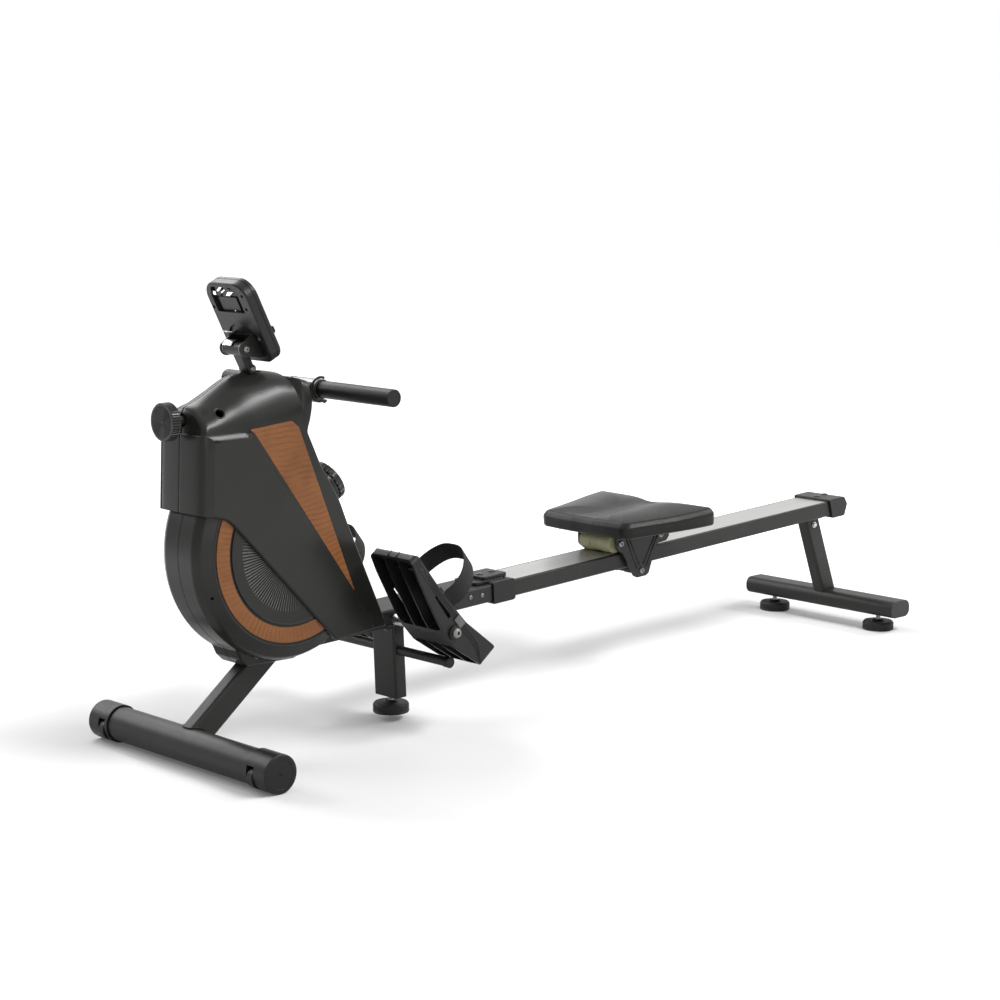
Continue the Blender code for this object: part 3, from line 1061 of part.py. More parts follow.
def make_console():
    """The computer on its mast: two shells, lens, button, battery door and the ear bracket."""
    top = Vector((CONSOLE_TOP[0], 0.0, CONSOLE_TOP[1]))
    bottom = Vector((CONSOLE_BOTTOM[0], 0.0, CONSOLE_BOTTOM[1]))
    length = (top - bottom).length
    tilt = math.atan2(bottom.x - top.x, top.z - bottom.z)
    pivot = Vector((BARREL_CENTRE[0], 0.0, BARREL_CENTRE[1]))
    # In the console's own frame x is towards the user, z runs up its face.
    frame = Matrix.Translation(bottom) @ Matrix.Rotation(-tilt, 4, "Y")
    half = CONSOLE_HALF_WIDTH
    outline = arc((half - CONSOLE_TOP_CORNER, length - CONSOLE_TOP_CORNER), CONSOLE_TOP_CORNER, 0, 90, 6)
    outline += arc((-half + CONSOLE_TOP_CORNER, length - CONSOLE_TOP_CORNER), CONSOLE_TOP_CORNER, 90, 180, 6)
    outline += arc((-half + CONSOLE_CORNER, CONSOLE_CORNER), CONSOLE_CORNER, 180, 270, 5)
    outline += arc((half - CONSOLE_CORNER, CONSOLE_CORNER), CONSOLE_CORNER, 270, 360, 5)
    middle = 0.0
    back = extrusion("back", outline, middle - CONSOLE_BACK_DEPTH, middle - FIT / 2, "x")
    front = extrusion("front", outline, middle + FIT / 2, middle + CONSOLE_FRONT_DEPTH, "x")
    door_low, door_high, door_half = length * 0.52, length * 0.86, 0.024
    pocket = block("pocket", (-CONSOLE_BACK_DEPTH - 0.01, -door_half, door_low),
                   (-CONSOLE_BACK_DEPTH + 0.007, door_half, door_high))
    back = cut(back, pocket)
    door = block("door", (-CONSOLE_BACK_DEPTH + 0.004, -door_half + FIT, door_low + FIT),
                 (-CONSOLE_BACK_DEPTH + 0.007 - FIT, door_half - FIT, door_high - FIT))
    lens_low, lens_high, lens_half = length * 0.48, length * 0.86, 0.036
    window = block("window", (CONSOLE_FRONT_DEPTH - 0.0025, -lens_half, lens_low), (0.05, lens_half, lens_high))
    button_z, button_y = length * 0.22, 0.012
    button_hole = block("hole", (CONSOLE_FRONT_DEPTH - 0.005, -button_y - FIT, button_z - 0.006 - FIT),
                        (0.05, button_y + FIT, button_z + 0.006 + FIT))
    front = cut(front, window, button_hole)
    lens = block("lens", (CONSOLE_FRONT_DEPTH - 0.0025 + FIT, -lens_half + FIT, lens_low + FIT),
                 (CONSOLE_FRONT_DEPTH - FIT, lens_half - FIT, lens_high - FIT))
    button = block("button", (CONSOLE_FRONT_DEPTH - 0.0032, -button_y, button_z - 0.006),
                   (CONSOLE_FRONT_DEPTH + 0.0018, button_y, button_z + 0.006))
    face, shelf = CONSOLE_FRONT_DEPTH, length * LEDGE_SHARE
    ledge = extrusion("ledge", [
        (face - 0.001, shelf), (face + LEDGE_DEPTH, shelf), (face + LEDGE_DEPTH, shelf + LEDGE_LIP),
        (face + LEDGE_DEPTH - 0.0025, shelf + LEDGE_LIP), (face + LEDGE_DEPTH - 0.0025, shelf + 0.003),
        (face - 0.001, shelf + 0.003),
    ], -LEDGE_HALF, LEDGE_HALF)
    front = joined(front, ledge)
    for made in (back, front, door, lens, button):
        made.data.transform(frame)
    node(back, "console_back", "black_plastic", None, pivot)
    node(front, "console_front", "black_plastic", None, pivot)
    node(door, "battery_door", "black_plastic", None, pivot)
    node(lens, "console_lens", "lens", None, pivot)
    node(button, "console_button", "black_plastic", None, frame @ Vector((CONSOLE_FRONT_DEPTH, 0, button_z)))

    ear_inner = BARREL_HALF_LENGTH + FIT
    ears = []
    back_low = frame @ Vector((-CONSOLE_BACK_DEPTH - FIT, 0.0, length * 0.06))
    back_high = frame @ Vector((-CONSOLE_BACK_DEPTH - FIT, 0.0, length * 0.36))
    for side in (1, -1):
        low, high = sorted((side * ear_inner, side * (ear_inner + EAR_THICKNESS)))
        outline = arc((pivot.x, pivot.z), BARREL_RADIUS + 0.002, 130, 290, 8)
        outline += [(back_low.x, back_low.z), (back_high.x, back_high.z)]
        ears.append(extrusion("ear", outline, low, high))
    web = block("web", (-CONSOLE_BACK_DEPTH - FIT - 0.003, -ear_inner - EAR_THICKNESS, length * 0.06),
                (-CONSOLE_BACK_DEPTH - FIT, ear_inner + EAR_THICKNESS, length * 0.36))
    web.data.transform(frame)
    bracket = joined(ears[0], ears[1], web)
    bolt_hole = moved(rod("hole", PIN_RADIUS + FIT, -0.05, 0.05, SMALL_TURNS), pivot, "y")
    swing = moved(rod("swing", BARREL_RADIUS + 0.0008, -ear_inner, ear_inner, SMALL_TURNS), pivot, "y")
    node(cut(bracket, bolt_hole, swing), "console_bracket", "frame_paint", None, pivot)

    mast_foot = Vector((0.131, 0.0, 0.6103))
    mast = extrusion("mast", rounded_box(MAST_DEPTH / 2, MAST_WIDTH / 2, 0.003, 2), 0.0, 0.09, "z")
    along(mast, mast_foot - (pivot - mast_foot).normalized() * 0.01, pivot)
    barrel = moved(rod("barrel", BARREL_RADIUS, -BARREL_HALF_LENGTH, BARREL_HALF_LENGTH, SMALL_TURNS), pivot, "y")
    trim = block("trim", (0.0, -0.1, pivot.z), (0.3, 0.1, 0.9))
    trim_low = block("trim_low", (0.0, -0.1, 0.5), (0.3, 0.1, mast_foot.z))
    mast = joined(cut(mast, trim, trim_low), barrel)
    bolt_half = ear_inner + EAR_THICKNESS + FIT
    bolt = rod("bolt", PIN_RADIUS, -bolt_half - 0.001, bolt_half + 0.001, SMALL_TURNS)
    heads = [moved(rod("head", 0.006, low, low + 0.003, SMALL_TURNS), pivot, "y") for low in (bolt_half, -bolt_half - 0.003)]
    node(joined(mast, moved(bolt, pivot, "y"), *heads), "console_mast", "frame_paint")


def pedal_point(down, out):
    """From distance down the pedal's face and height above it to x and z."""
    x = PEDAL_TOP[0] + math.cos(PEDAL_ANGLE) * down + math.sin(PEDAL_ANGLE) * out
    z = PEDAL_TOP[1] - math.sin(PEDAL_ANGLE) * down + math.cos(PEDAL_ANGLE) * out
    return (x, z)


def pedal_shape(points):
    return [pedal_point(down, out) for down, out in points]


def make_pedals():
    """Foot plates with a hollow ribbed back, raised heel walls, straps and clips, on one axle."""
    inner, outer = PEDAL_INNER_Y, PEDAL_OUTER_Y
    side = [
        (0.004, 0.0), (0.100, 0.0015), (0.172, 0.0087), (0.2500, 0.0300), (0.2560, 0.0290), (0.2585, 0.0200),
        (0.2585, -0.0123), (0.2535, -0.0139), (0.1912, -0.0369), (0.1523, -0.0402), (0.1242, -0.0381),
        (0.0798, -0.0315), (0.036, -0.025), (0.0009, -0.0169), (0.0, -0.005),
    ]
    body = extrusion("body", pedal_shape(side), inner, outer)
    wall = PEDAL_WALL
    foot_room = extrusion("foot_room", pedal_shape([
        (-0.01, 0.0), (0.2545, 0.0), (0.2545, 0.06), (-0.01, 0.06)]), inner + wall, outer - wall)
    bay = (outer - inner - 2 * wall - 2 * 0.003) / 3
    pockets = []
    for column in range(3):
        low = inner + wall + column * (bay + 0.003)
        for first, last in ((0.0045, 0.0480), (0.0510, 0.1460), (0.1860, 0.2540)):
            points = pedal_shape([(first, -PEDAL_DECK), (last, -PEDAL_DECK), (last, -0.09), (first, -0.09)])
            pockets.append(extrusion("pocket", points, low, low + bay))
    pivot_x, pivot_z = pedal_pivot()
    boss_in = moved(rod("boss", 0.013, inner - 0.004, outer + 0.004, 24), (pivot_x, 0, pivot_z), "y")
    slots = [extrusion("slot", pedal_shape([
        (PEDAL_STRAP_MIDDLE - 0.0195, -0.0165), (PEDAL_STRAP_MIDDLE + 0.0195, -0.0165),
        (PEDAL_STRAP_MIDDLE + 0.0195, -0.0105), (PEDAL_STRAP_MIDDLE - 0.0195, -0.0105)]),
        low, low + wall + 0.003) for low in (inner - 0.002, outer - wall - 0.001)]
    bore = moved(rod("bore", PEDAL_AXLE_RADIUS + FIT, 0.05, 0.25, SMALL_TURNS), (pivot_x, 0, pivot_z), "y")
    body = cut(body, foot_room, *pockets)
    body = cut(joined(body, boss_in), bore, *slots)
    strap = make_pedal_strap()
    origin = Vector((pivot_x, 0.0, pivot_z))
    node(mirrored(body, "twin"), "pedal_right", "black_plastic", None, origin)
    node(mirrored(strap, "twin"), "pedal_strap_right", "webbing", None, origin)
    node(body, "pedal_left", "black_plastic", None, origin)
    node(strap, "pedal_strap_left", "webbing", None, origin)
    end = outer + 0.004 + FIT
    profile = [
        (0.0, -end - 0.006), (0.0085, -end - 0.006), (0.0085, -end), (PEDAL_AXLE_RADIUS, -end),
        (PEDAL_AXLE_RADIUS, end), (0.0085, end), (0.0085, end + 0.006), (0.0, end + 0.006),
    ]
    axle = moved(turned("axle", profile, SMALL_TURNS), (pivot_x, 0, pivot_z), "y")
    node(axle, "pedal_axle", "steel")


def make_pedal_strap():
    """A band that comes out of the two side slots and arches over the foot."""
    inner, outer = PEDAL_INNER_Y, PEDAL_OUTER_Y
    gap = FIT + PEDAL_STRAP_THICKNESS / 2
    slot_height = -0.0135
    middle = (inner + outer) / 2
    reach = (outer - inner) / 2 + gap
    foot = 0.012
    line = [(outer - 0.003, slot_height), (outer + gap, slot_height), (outer + gap, -0.002)]
    steps = 16
    for step in range(steps + 1):
        angle = math.pi * step / steps
        across = math.copysign(abs(math.cos(angle)) ** 0.65, math.cos(angle))
        climb = math.sin(angle) ** 0.8
        swell = PEDAL_STRAP_BULGE * math.sin(math.pi * climb)
        line.append((middle + (reach + swell) * across, foot + (PEDAL_STRAP_RISE - foot) * climb))
    line += [(inner - gap, -0.002), (inner - gap, slot_height), (inner + 0.003, slot_height)]
    # The band is built flat in (y, height), then leant down the pedal with its height.
    half = PEDAL_STRAP_WIDTH / 2
    band = ribbon("band", line, PEDAL_STRAP_THICKNESS, -half, half, "x")
    for vertex in band.data.vertices:
        down, y, out = vertex.co
        down += PEDAL_STRAP_MIDDLE + max(out, 0.0) * PEDAL_STRAP_LEAN
        x, z = pedal_point(down, out)
        vertex.co = (x, y, z)
    return band


def seat_half_width(share):
    """Half width of the cushion from its front edge (0) to its rear edge (1)."""
    return SEAT_FRONT_HALF + (SEAT_REAR_HALF - SEAT_FRONT_HALF) * math.sin(share * math.pi / 2) ** 1.2


def make_seat():
    """The crowned cushion and the carriage below it, in the rail's own frame."""
    length = SEAT_REAR - SEAT_FRONT
    outline = []
    corner = 0.022
    for side in (1, -1):
        points = []
        rear_notch = 0.010
        points.append((SEAT_REAR - rear_notch, 0.0))
        points.append((SEAT_REAR - rear_notch * 0.35, 0.028))
        points.append((SEAT_REAR, 0.060))
        points.append((SEAT_REAR, SEAT_REAR_HALF - corner * 1.6))
        points += arc((SEAT_REAR - corner, SEAT_REAR_HALF - corner), corner, 15, 90, 3)
        for share in (0.72, 0.56, 0.40, 0.24):
            points.append((SEAT_FRONT + length * share, seat_half_width(share)))
        points += arc((SEAT_FRONT + corner, SEAT_FRONT_HALF - corner), corner, 100, 170, 3)
        points.append((SEAT_FRONT - 0.004, 0.060))
        points.append((SEAT_FRONT - 0.005, 0.028))
        if side > 0:
            outline += points + [(SEAT_FRONT - 0.004, 0.0)]
        else:
            outline += [(x, -y) for x, y in points[::-1]][:-1]
    centre = Vector((SEAT_FRONT + length * 0.52, 0.0))
    count = len(outline)

    def crown(x, y, share):
        lobes = 1.0 - math.exp(-(y / 0.045) ** 2)
        rise = SEAT_CROWN * (1.0 - share ** 4) * (0.45 + 0.55 * lobes)
        dip = SEAT_VALLEY * (1.0 - lobes) * (1.0 - share ** 6) * 0.5
        kick = 0.009 * max(0.0, (x - centre.x) / length) * lobes
        return SEAT_UNDERSIDE + SEAT_BAND + rise - dip + kick

    vertices = []
    levels = [
        (0.965, SEAT_UNDERSIDE), (0.985, SEAT_UNDERSIDE + 0.004), (0.992, SEAT_UNDERSIDE + SEAT_BAND * 0.5),
        (1.0, SEAT_UNDERSIDE + SEAT_BAND - 0.006), (0.985, SEAT_UNDERSIDE + SEAT_BAND - 0.0005),
    ]
    for scale, height in levels:
        for x, y in outline:
            vertices.append((centre.x + (x - centre.x) * scale, y * scale, height))
    for share in (0.94, 0.84, 0.70, 0.52, 0.32, 0.14):
        for x, y in outline:
            at = (centre.x + (x - centre.x) * share, y * share)
            vertices.append((*at, crown(*at, share)))
    rings = len(vertices) // count
    vertices.append((centre.x, 0.0, crown(centre.x, 0.0, 0.0)))
    vertices.append((centre.x, 0.0, SEAT_UNDERSIDE))
    faces = []
    for ring in range(rings - 1):
        for index in range(count):
            after = (index + 1) % count
            faces.append((ring * count + index, ring * count + after,
                          (ring + 1) * count + after, (ring + 1) * count + index))
    top = rings * count
    for index in range(count):
        after = (index + 1) % count
        faces.append(((rings - 1) * count + index, (rings - 1) * count + after, top))
        faces.append((index, after, top + 1))
    node(solid("cushion", vertices, faces), "seat_cushion", "vinyl", RAIL)

    plate_inner = RAIL_WIDTH / 2 + SIDE_PLATE_GAP
    plate_outer = plate_inner + SIDE_PLATE_THICKNESS
    under = SEAT_UNDERSIDE - FIT
    roller_height = ROLLER_RADIUS + ROLLER_RUNNING_GAP
    low_height = -RAIL_HEIGHT - ROLLER_RUNNING_GAP - LOWER_ROLLER_RADIUS
    middle = SEAT_MIDDLE
    tray = block("tray", (middle - 0.066, -plate_outer, under - 0.0018), (middle + 0.080, plate_outer, under))
    cheeks = []
    for side in (1, -1):
        low, high = sorted((side * plate_inner, side * plate_outer))
        outline = [
            (middle - 0.066, under - 0.001), (middle - 0.066, 0.012), (middle - 0.060, 0.005),
            (middle - 0.052, 0.002), (middle - 0.020, low_height - 0.008), (middle - 0.012, low_height - 0.012),
            (middle + 0.012, low_height - 0.012), (middle + 0.020, low_height - 0.008), (middle + 0.044, 0.004),
            (middle + 0.072, 0.006), (middle + 0.080, 0.014), (middle + 0.080, under - 0.001),
        ]
        cheeks.append(extrusion("cheek", outline, low, high))
    axles = []
    rollers = [
        ("seat_roller_front", middle - ROLLER_SPREAD, roller_height, ROLLER_RADIUS, "roller_plastic"),
        ("seat_roller_rear", middle + ROLLER_SPREAD, roller_height, ROLLER_RADIUS, "roller_plastic"),
        ("seat_roller_lower", middle, low_height, LOWER_ROLLER_RADIUS, "roller_plastic"),
    ]
    for name, x, height, radius, finish_name in rollers:
        half = ROLLER_HALF_LENGTH
        profile = [
            (ROLLER_PIN_RADIUS + FIT, -half), (radius - 0.0015, -half), (radius, -half + 0.0015),
            (radius, half - 0.0015), (radius - 0.0015, half), (ROLLER_PIN_RADIUS + FIT, half),
        ]
        centre_point = (x, 0, height)
        node(moved(turned(name, profile, 24), centre_point, "y"), name, finish_name, RAIL, centre_point)
        head = plate_outer - 0.001
        profile = [
            (0.0, -head - 0.004), (0.0065, -head - 0.004), (0.0065, -head), (ROLLER_PIN_RADIUS, -head),
            (ROLLER_PIN_RADIUS, head), (0.0065, head), (0.0065, head + 0.004), (0.0, head + 0.004),
        ]
        axles.append(moved(turned("axle", profile, SMALL_TURNS), centre_point, "y"))
    node(joined(tray, *cheeks, *axles), "seat_carriage", "frame_paint", RAIL)


make_front_stabiliser()
make_front_leg()
make_beam_and_rail()
make_mid_leg()
make_rear_stand()
make_upper_covers()
make_round_covers()
make_drive()
make_handle()
make_knobs()
make_console()
make_pedals()
make_seat()
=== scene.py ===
import json
import math

import bmesh
import bpy
from mathutils import Matrix, Vector

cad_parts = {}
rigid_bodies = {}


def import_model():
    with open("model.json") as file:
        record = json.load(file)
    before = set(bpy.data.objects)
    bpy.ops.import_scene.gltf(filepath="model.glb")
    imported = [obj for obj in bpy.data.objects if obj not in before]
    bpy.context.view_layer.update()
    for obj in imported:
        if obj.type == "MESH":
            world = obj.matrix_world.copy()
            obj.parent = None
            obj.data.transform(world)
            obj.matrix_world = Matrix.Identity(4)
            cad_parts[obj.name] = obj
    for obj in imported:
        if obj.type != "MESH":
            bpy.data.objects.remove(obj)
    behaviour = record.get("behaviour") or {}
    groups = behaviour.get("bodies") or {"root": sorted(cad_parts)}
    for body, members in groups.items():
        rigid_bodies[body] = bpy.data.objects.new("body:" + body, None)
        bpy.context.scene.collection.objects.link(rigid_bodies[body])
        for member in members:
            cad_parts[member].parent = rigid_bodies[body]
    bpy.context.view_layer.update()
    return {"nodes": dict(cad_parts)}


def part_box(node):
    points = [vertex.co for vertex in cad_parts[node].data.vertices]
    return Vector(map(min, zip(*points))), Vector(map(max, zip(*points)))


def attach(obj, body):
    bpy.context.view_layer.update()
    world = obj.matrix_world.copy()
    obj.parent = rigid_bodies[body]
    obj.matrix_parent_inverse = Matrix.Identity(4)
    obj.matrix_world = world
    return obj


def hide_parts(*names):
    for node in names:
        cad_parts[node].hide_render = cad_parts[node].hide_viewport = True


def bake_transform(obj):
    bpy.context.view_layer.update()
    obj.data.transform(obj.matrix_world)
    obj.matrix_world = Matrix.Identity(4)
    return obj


for old in list(bpy.data.objects):
    bpy.data.objects.remove(old, do_unlink=True)
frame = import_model()


# Front stabiliser. A round steel tube, powder coated in charcoal, lies across the front of the machine.
# A moulded cap is pressed over each end, and a small transport wheel turns on a pin in a slot of each cap.
tube_low, tube_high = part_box("front_stabilizer_tube")
AXIS_X = (tube_low[0] + tube_high[0]) / 2
MACHINE = Matrix.Translation((AXIS_X, 0.0, 0.0))
STAB_TUBE_RADIUS = 0.0295
STAB_CAP_RADIUS = 0.0327
STAB_HEIGHT = 0.03272
STAB_HALF = 0.246
CAP_START = 0.191
WHEEL_RADIUS = 0.0175
WHEEL_MIDDLE = 0.2066
WHEEL_PLACE = (-0.0165, STAB_HEIGHT - 0.008)


class Wire:
    """The output of a node, which can stand in a sum."""

    def __init__(self, paint, socket):
        self.paint = paint
        self.socket = socket

    def sum(self, operation, first, second):
        return self.paint.maths(operation, first, second)

    def __add__(self, other):
        return self.sum("ADD", self, other)

    def __radd__(self, other):
        return self.sum("ADD", other, self)

    def __sub__(self, other):
        return self.sum("SUBTRACT", self, other)

    def __rsub__(self, other):
        return self.sum("SUBTRACT", other, self)

    def __mul__(self, other):
        return self.sum("MULTIPLY", self, other)

    def __rmul__(self, other):
        return self.sum("MULTIPLY", other, self)

    def __truediv__(self, other):
        return self.sum("DIVIDE", self, other)

    def __pow__(self, other):
        return self.sum("POWER", self, other)


class Paint:
    """One finish: a Principled shader and the nodes that feed it."""

    def __init__(self, name, **constants):
        self.material = bpy.data.materials.new(name)
        self.material.use_nodes = True
        self.tree = self.material.node_tree
        self.shader = self.tree.nodes["Principled BSDF"]
        for socket, value in constants.items():
            self.shader.inputs[socket.replace("_", " ")].default_value = value

    def add(self, kind, settings=None, values=None, out=0):
        made = self.tree.nodes.new(kind)
        for key, value in (settings or {}).items():
            if key == "stops":
                stops = made.color_ramp.elements
                while len(stops) < len(value):
                    stops.new(0.5)
                for stop, (place, colour) in zip(stops, value):
                    stop.position = place
                    stop.color = (*colour, 1.0)
            else:
                setattr(made, key, value)
        for key, value in (values or {}).items():
            self.join(made.inputs[key], value)
        return Wire(self, made.outputs[out])

    def join(self, socket, value):
        if isinstance(value, Wire):
            self.tree.links.new(value.socket, socket)
        else:
            socket.default_value = value

    def place(self, stretch=(1.0, 1.0, 1.0)):
        """The point on the piece, in metres, stretched along each axis."""
        point = self.add("ShaderNodeTexCoord", out="Object")
        return self.add("ShaderNodeMapping", {}, {"Vector": point, "Scale": stretch})

    def speckle(self, scale, detail=2.0, stretch=(1.0, 1.0, 1.0), rough=0.5):
        return self.add("ShaderNodeTexNoise", {}, {
            "Vector": self.place(stretch), "Scale": scale, "Detail": detail, "Roughness": rough})

    def maths(self, operation, *values):
        return self.add("ShaderNodeMath", {"operation": operation}, dict(enumerate(values)))

    def wires(self, made, *outputs):
        """Some outputs of one node."""
        return [Wire(self, made.socket.node.outputs[output]) for output in outputs]

    def axes(self):
        """The point on the piece as three distances."""
        return self.wires(self.add("ShaderNodeSeparateXYZ", {}, {0: self.place()}), "X", "Y", "Z")

    def between(self, mask, first, second):
        first, second = [(*end, 1.0) if isinstance(end, tuple) else end for end in (first, second)]
        return self.add("ShaderNodeMix", {"data_type": "RGBA"}, {0: mask, 6: first, 7: second}, 2)

    def ramp(self, value, low, high):
        return self.add("ShaderNodeMapRange", {}, {"Value": value, "From Min": low, "From Max": high})

    def relief(self, height, distance, strength=1.0):
        bump = self.add("ShaderNodeBump", {}, {"Height": height, "Distance": distance, "Strength": strength})
        self.join(self.shader.inputs["Normal"], bump)

    def feed(self, **sockets):
        for socket, value in sockets.items():
            self.join(self.shader.inputs[socket.replace("_", " ")], value)


def shape(name, points, faces):
    """A mesh piece whose faces point outwards, shaded smooth."""
    mesh = bpy.data.meshes.new(name)
    work = bmesh.new()
    corners = [work.verts.new(point) for point in points]
    for face in faces:
        work.faces.new([corners[index] for index in face])
    bmesh.ops.recalc_face_normals(work, faces=work.faces)
    work.to_mesh(mesh)
    work.free()
    mesh.shade_smooth()
    piece = bpy.data.objects.new(name, mesh)
    bpy.context.scene.collection.objects.link(piece)
    return piece


def fillet(points, radius, steps=5, closed=True):
    """Rounds the corners of an outline, by one radius or by one for each corner."""
    result = []
    count = len(points)
    for index, corner in enumerate(points):
        reach = radius[index] if isinstance(radius, (list, tuple)) else radius
        middle = Vector(corner)
        back = Vector(points[index - 1]) - middle
        on = Vector(points[(index + 1) % count]) - middle
        half = back.angle(on) / 2
        if reach == 0.0 or half > 1.55 or (not closed and index in (0, count - 1)):
            result.append(tuple(corner))
            continue
        length = min(reach / math.tan(half), back.length * 0.48, on.length * 0.48)
        first = middle + back.normalized() * length
        last = middle + on.normalized() * length
        for step in range(steps + 1):
            share = step / steps
            weights = ((1 - share) ** 2, 2 * share * (1 - share) * math.sin(half), share * share)
            point = first * weights[0] + middle * weights[1] + last * weights[2]
            result.append(tuple(point / sum(weights)))
    return result


def lathe(name, profile, turns=72):
    """Turns a profile of (radius, height) points about Z; a radius of 0 closes it on the axis."""
    points, rings = [], []
    for radius, height in profile:
        if radius < 1e-7:
            rings.append([len(points)] * turns)
            points.append((0.0, 0.0, height))
            continue
        rings.append([len(points) + step for step in range(turns)])
        for step in range(turns):
            angle = 2 * math.pi * step / turns
            points.append((radius * math.cos(angle), radius * math.sin(angle), height))
    pairs = list(zip(rings, rings[1:]))
    if profile[0][0] > 1e-7:
        pairs.append((rings[-1], rings[0]))
    faces = []
    for ring, above in pairs:
        for step in range(turns):
            after = (step + 1) % turns
            corners = [ring[step], ring[after], above[after], above[step]]
            corners = [corner for spot, corner in enumerate(corners) if corner not in corners[:spot]]
            if len(corners) > 2:
                faces.append(corners)
    return shape(name, points, faces)


def rod(name, radius, low, high, turns=48, soft=0.0, steps=3):
    """A round bar about Z, with soft edges where it shows."""
    profile = [(0.0, low), (radius, low), (radius, high), (0.0, high)]
    return lathe(name, fillet(profile, soft, steps, False) if soft else profile, turns)


def even_shading(piece):
    piece.modifiers.new("even shading", "WEIGHTED_NORMAL").keep_sharp = True
    return piece


def crisp(piece, angle=32):
    """Keeps the edges sharper than an angle as they are."""
    piece.data.shade_smooth()
    piece.data.set_sharp_from_angle(angle=math.radians(angle))
    return even_shading(piece)


def laid(piece, location, axis="z"):
    """Lays a turned piece's Z axis along another axis and moves it."""
    lay = {
        "x": Matrix.Rotation(math.pi / 2, 4, "Y"),
        "y": Matrix.Rotation(-math.pi / 2, 4, "X"),
        "z": Matrix.Identity(4),
    }[axis]
    piece.data.transform(Matrix.Translation(location) @ lay)
    return piece


SPOTS = {"x": lambda a, b, d: (d, a, b), "y": lambda a, b, d: (a, d, b), "z": lambda a, b, d: (a, b, d)}


def slab(name, outline, low, high, axis="y"):
    """Pulls an outline along an axis: x takes (y, z), y takes (x, z), z takes (x, y)."""
    spot = SPOTS[axis]
    count = len(outline)
    points = [spot(a, b, low) for a, b in outline] + [spot(a, b, high) for a, b in outline]
    faces = [tuple(range(count)), tuple(range(2 * count - 1, count - 1, -1))]
    for index in range(count):
        after = (index + 1) % count
        faces.append((index, after, count + after, count + index))
    return shape(name, points, faces)


def block(name, low, high):
    outline = [(low[0], low[2]), (high[0], low[2]), (high[0], high[2]), (low[0], high[2])]
    return slab(name, outline, low[1], high[1])


def settled_mesh(piece):
    """The piece's mesh with its modifiers worked in."""
    bpy.context.view_layer.update()
    graph = bpy.context.evaluated_depsgraph_get()
    result = bpy.data.meshes.new_from_object(piece.evaluated_get(graph))
    piece.modifiers.clear()
    piece.data = result
    return piece


def carved(piece, tools, operation="DIFFERENCE"):
    """Cuts the tools from the piece, joins them to it, or keeps what they share."""
    for tool in tools:
        step = piece.modifiers.new(operation.lower(), "BOOLEAN")
        step.operation = operation
        step.solver = "EXACT"
        step.object = tool
    settled_mesh(piece)
    for tool in tools:
        bpy.data.objects.remove(tool, do_unlink=True)
    work = bmesh.new()
    work.from_mesh(piece.data)
    bmesh.ops.remove_doubles(work, verts=work.verts, dist=0.00002)
    bmesh.ops.dissolve_degenerate(work, edges=work.edges, dist=0.00002)
    work.to_mesh(piece.data)
    work.free()
    piece.data.shade_smooth()
    return piece


def eased(piece, width, segments=3, angle=35):
    """Rounds the edges as a mould or a press leaves them, with even shading on the flats."""
    ease = piece.modifiers.new("eased edges", "BEVEL")
    ease.width = width
    ease.segments = segments
    ease.limit_method = "ANGLE"
    ease.angle_limit = math.radians(angle)
    ease.use_clamp_overlap = True
    piece.data.shade_smooth()
    return even_shading(piece)


def mirrored(piece, name):
    """The same piece on the other side of the machine."""
    mesh = piece.data.copy()
    mesh.transform(Matrix.Scale(-1.0, 4, (0.0, 1.0, 0.0)))
    mesh.flip_normals()
    twin = bpy.data.objects.new(name, mesh)
    bpy.context.scene.collection.objects.link(twin)
    settings = {
        "BEVEL": ("width", "segments", "limit_method", "angle_limit"),
        "WEIGHTED_NORMAL": ("keep_sharp",),
    }
    for step in piece.modifiers:
        copy = twin.modifiers.new(step.name, step.type)
        for setting in settings[step.type]:
            setattr(copy, setting, getattr(step, setting))
    return twin


def other_side(piece):
    """Moves a piece to the other side of the machine."""
    twin = mirrored(piece, piece.name + "_twin")
    bpy.data.objects.remove(piece, do_unlink=True)
    return twin


def fitted(piece, body, slot, paint, *nodes, place=MACHINE):
    """Puts a finished piece in its place on the machine, on the body it moves with."""
    piece.data.transform(place)
    piece.data.materials.clear()
    piece.data.materials.append(paint.material)
    for face in piece.data.polygons:
        face.material_index = 0
    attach(piece, body)
    if nodes:
        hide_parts(*nodes)
    return piece


def finish(name, clouds, dark, light, gloss, grain=None, **constants):
    """A finish that varies between two colours and in its gloss, with a fine grain where it has one.

    The clouds are given as scale and detail, the gloss as least, spread, scale and detail, the grain with its depth.
    """
    paint = Paint(name, **constants)
    paint.feed(
        Base_Color=paint.between(paint.speckle(*clouds), dark, light),
        Roughness=gloss[0] + gloss[1] * paint.speckle(*gloss[2:]))
    if grain:
        paint.relief(paint.speckle(*grain[:2]), grain[2])
    return paint


painted_steel = finish(
    "charcoal powder coat", (9.0, 4.0), (0.0125, 0.0125, 0.0115), (0.0180, 0.0180, 0.0168), (0.34, 0.12, 60.0, 3.0),
    (1400.0, 2.0, 0.00012), Specular_IOR_Level=0.25)
black_plastic = finish(
    "black moulded plastic", (14.0, 3.0), (0.0065, 0.0065, 0.0062), (0.0105, 0.0105, 0.0100),
    (0.30, 0.14, 90.0, 3.0), (2200.0, 2.0, 0.00010), Specular_IOR_Level=0.26)

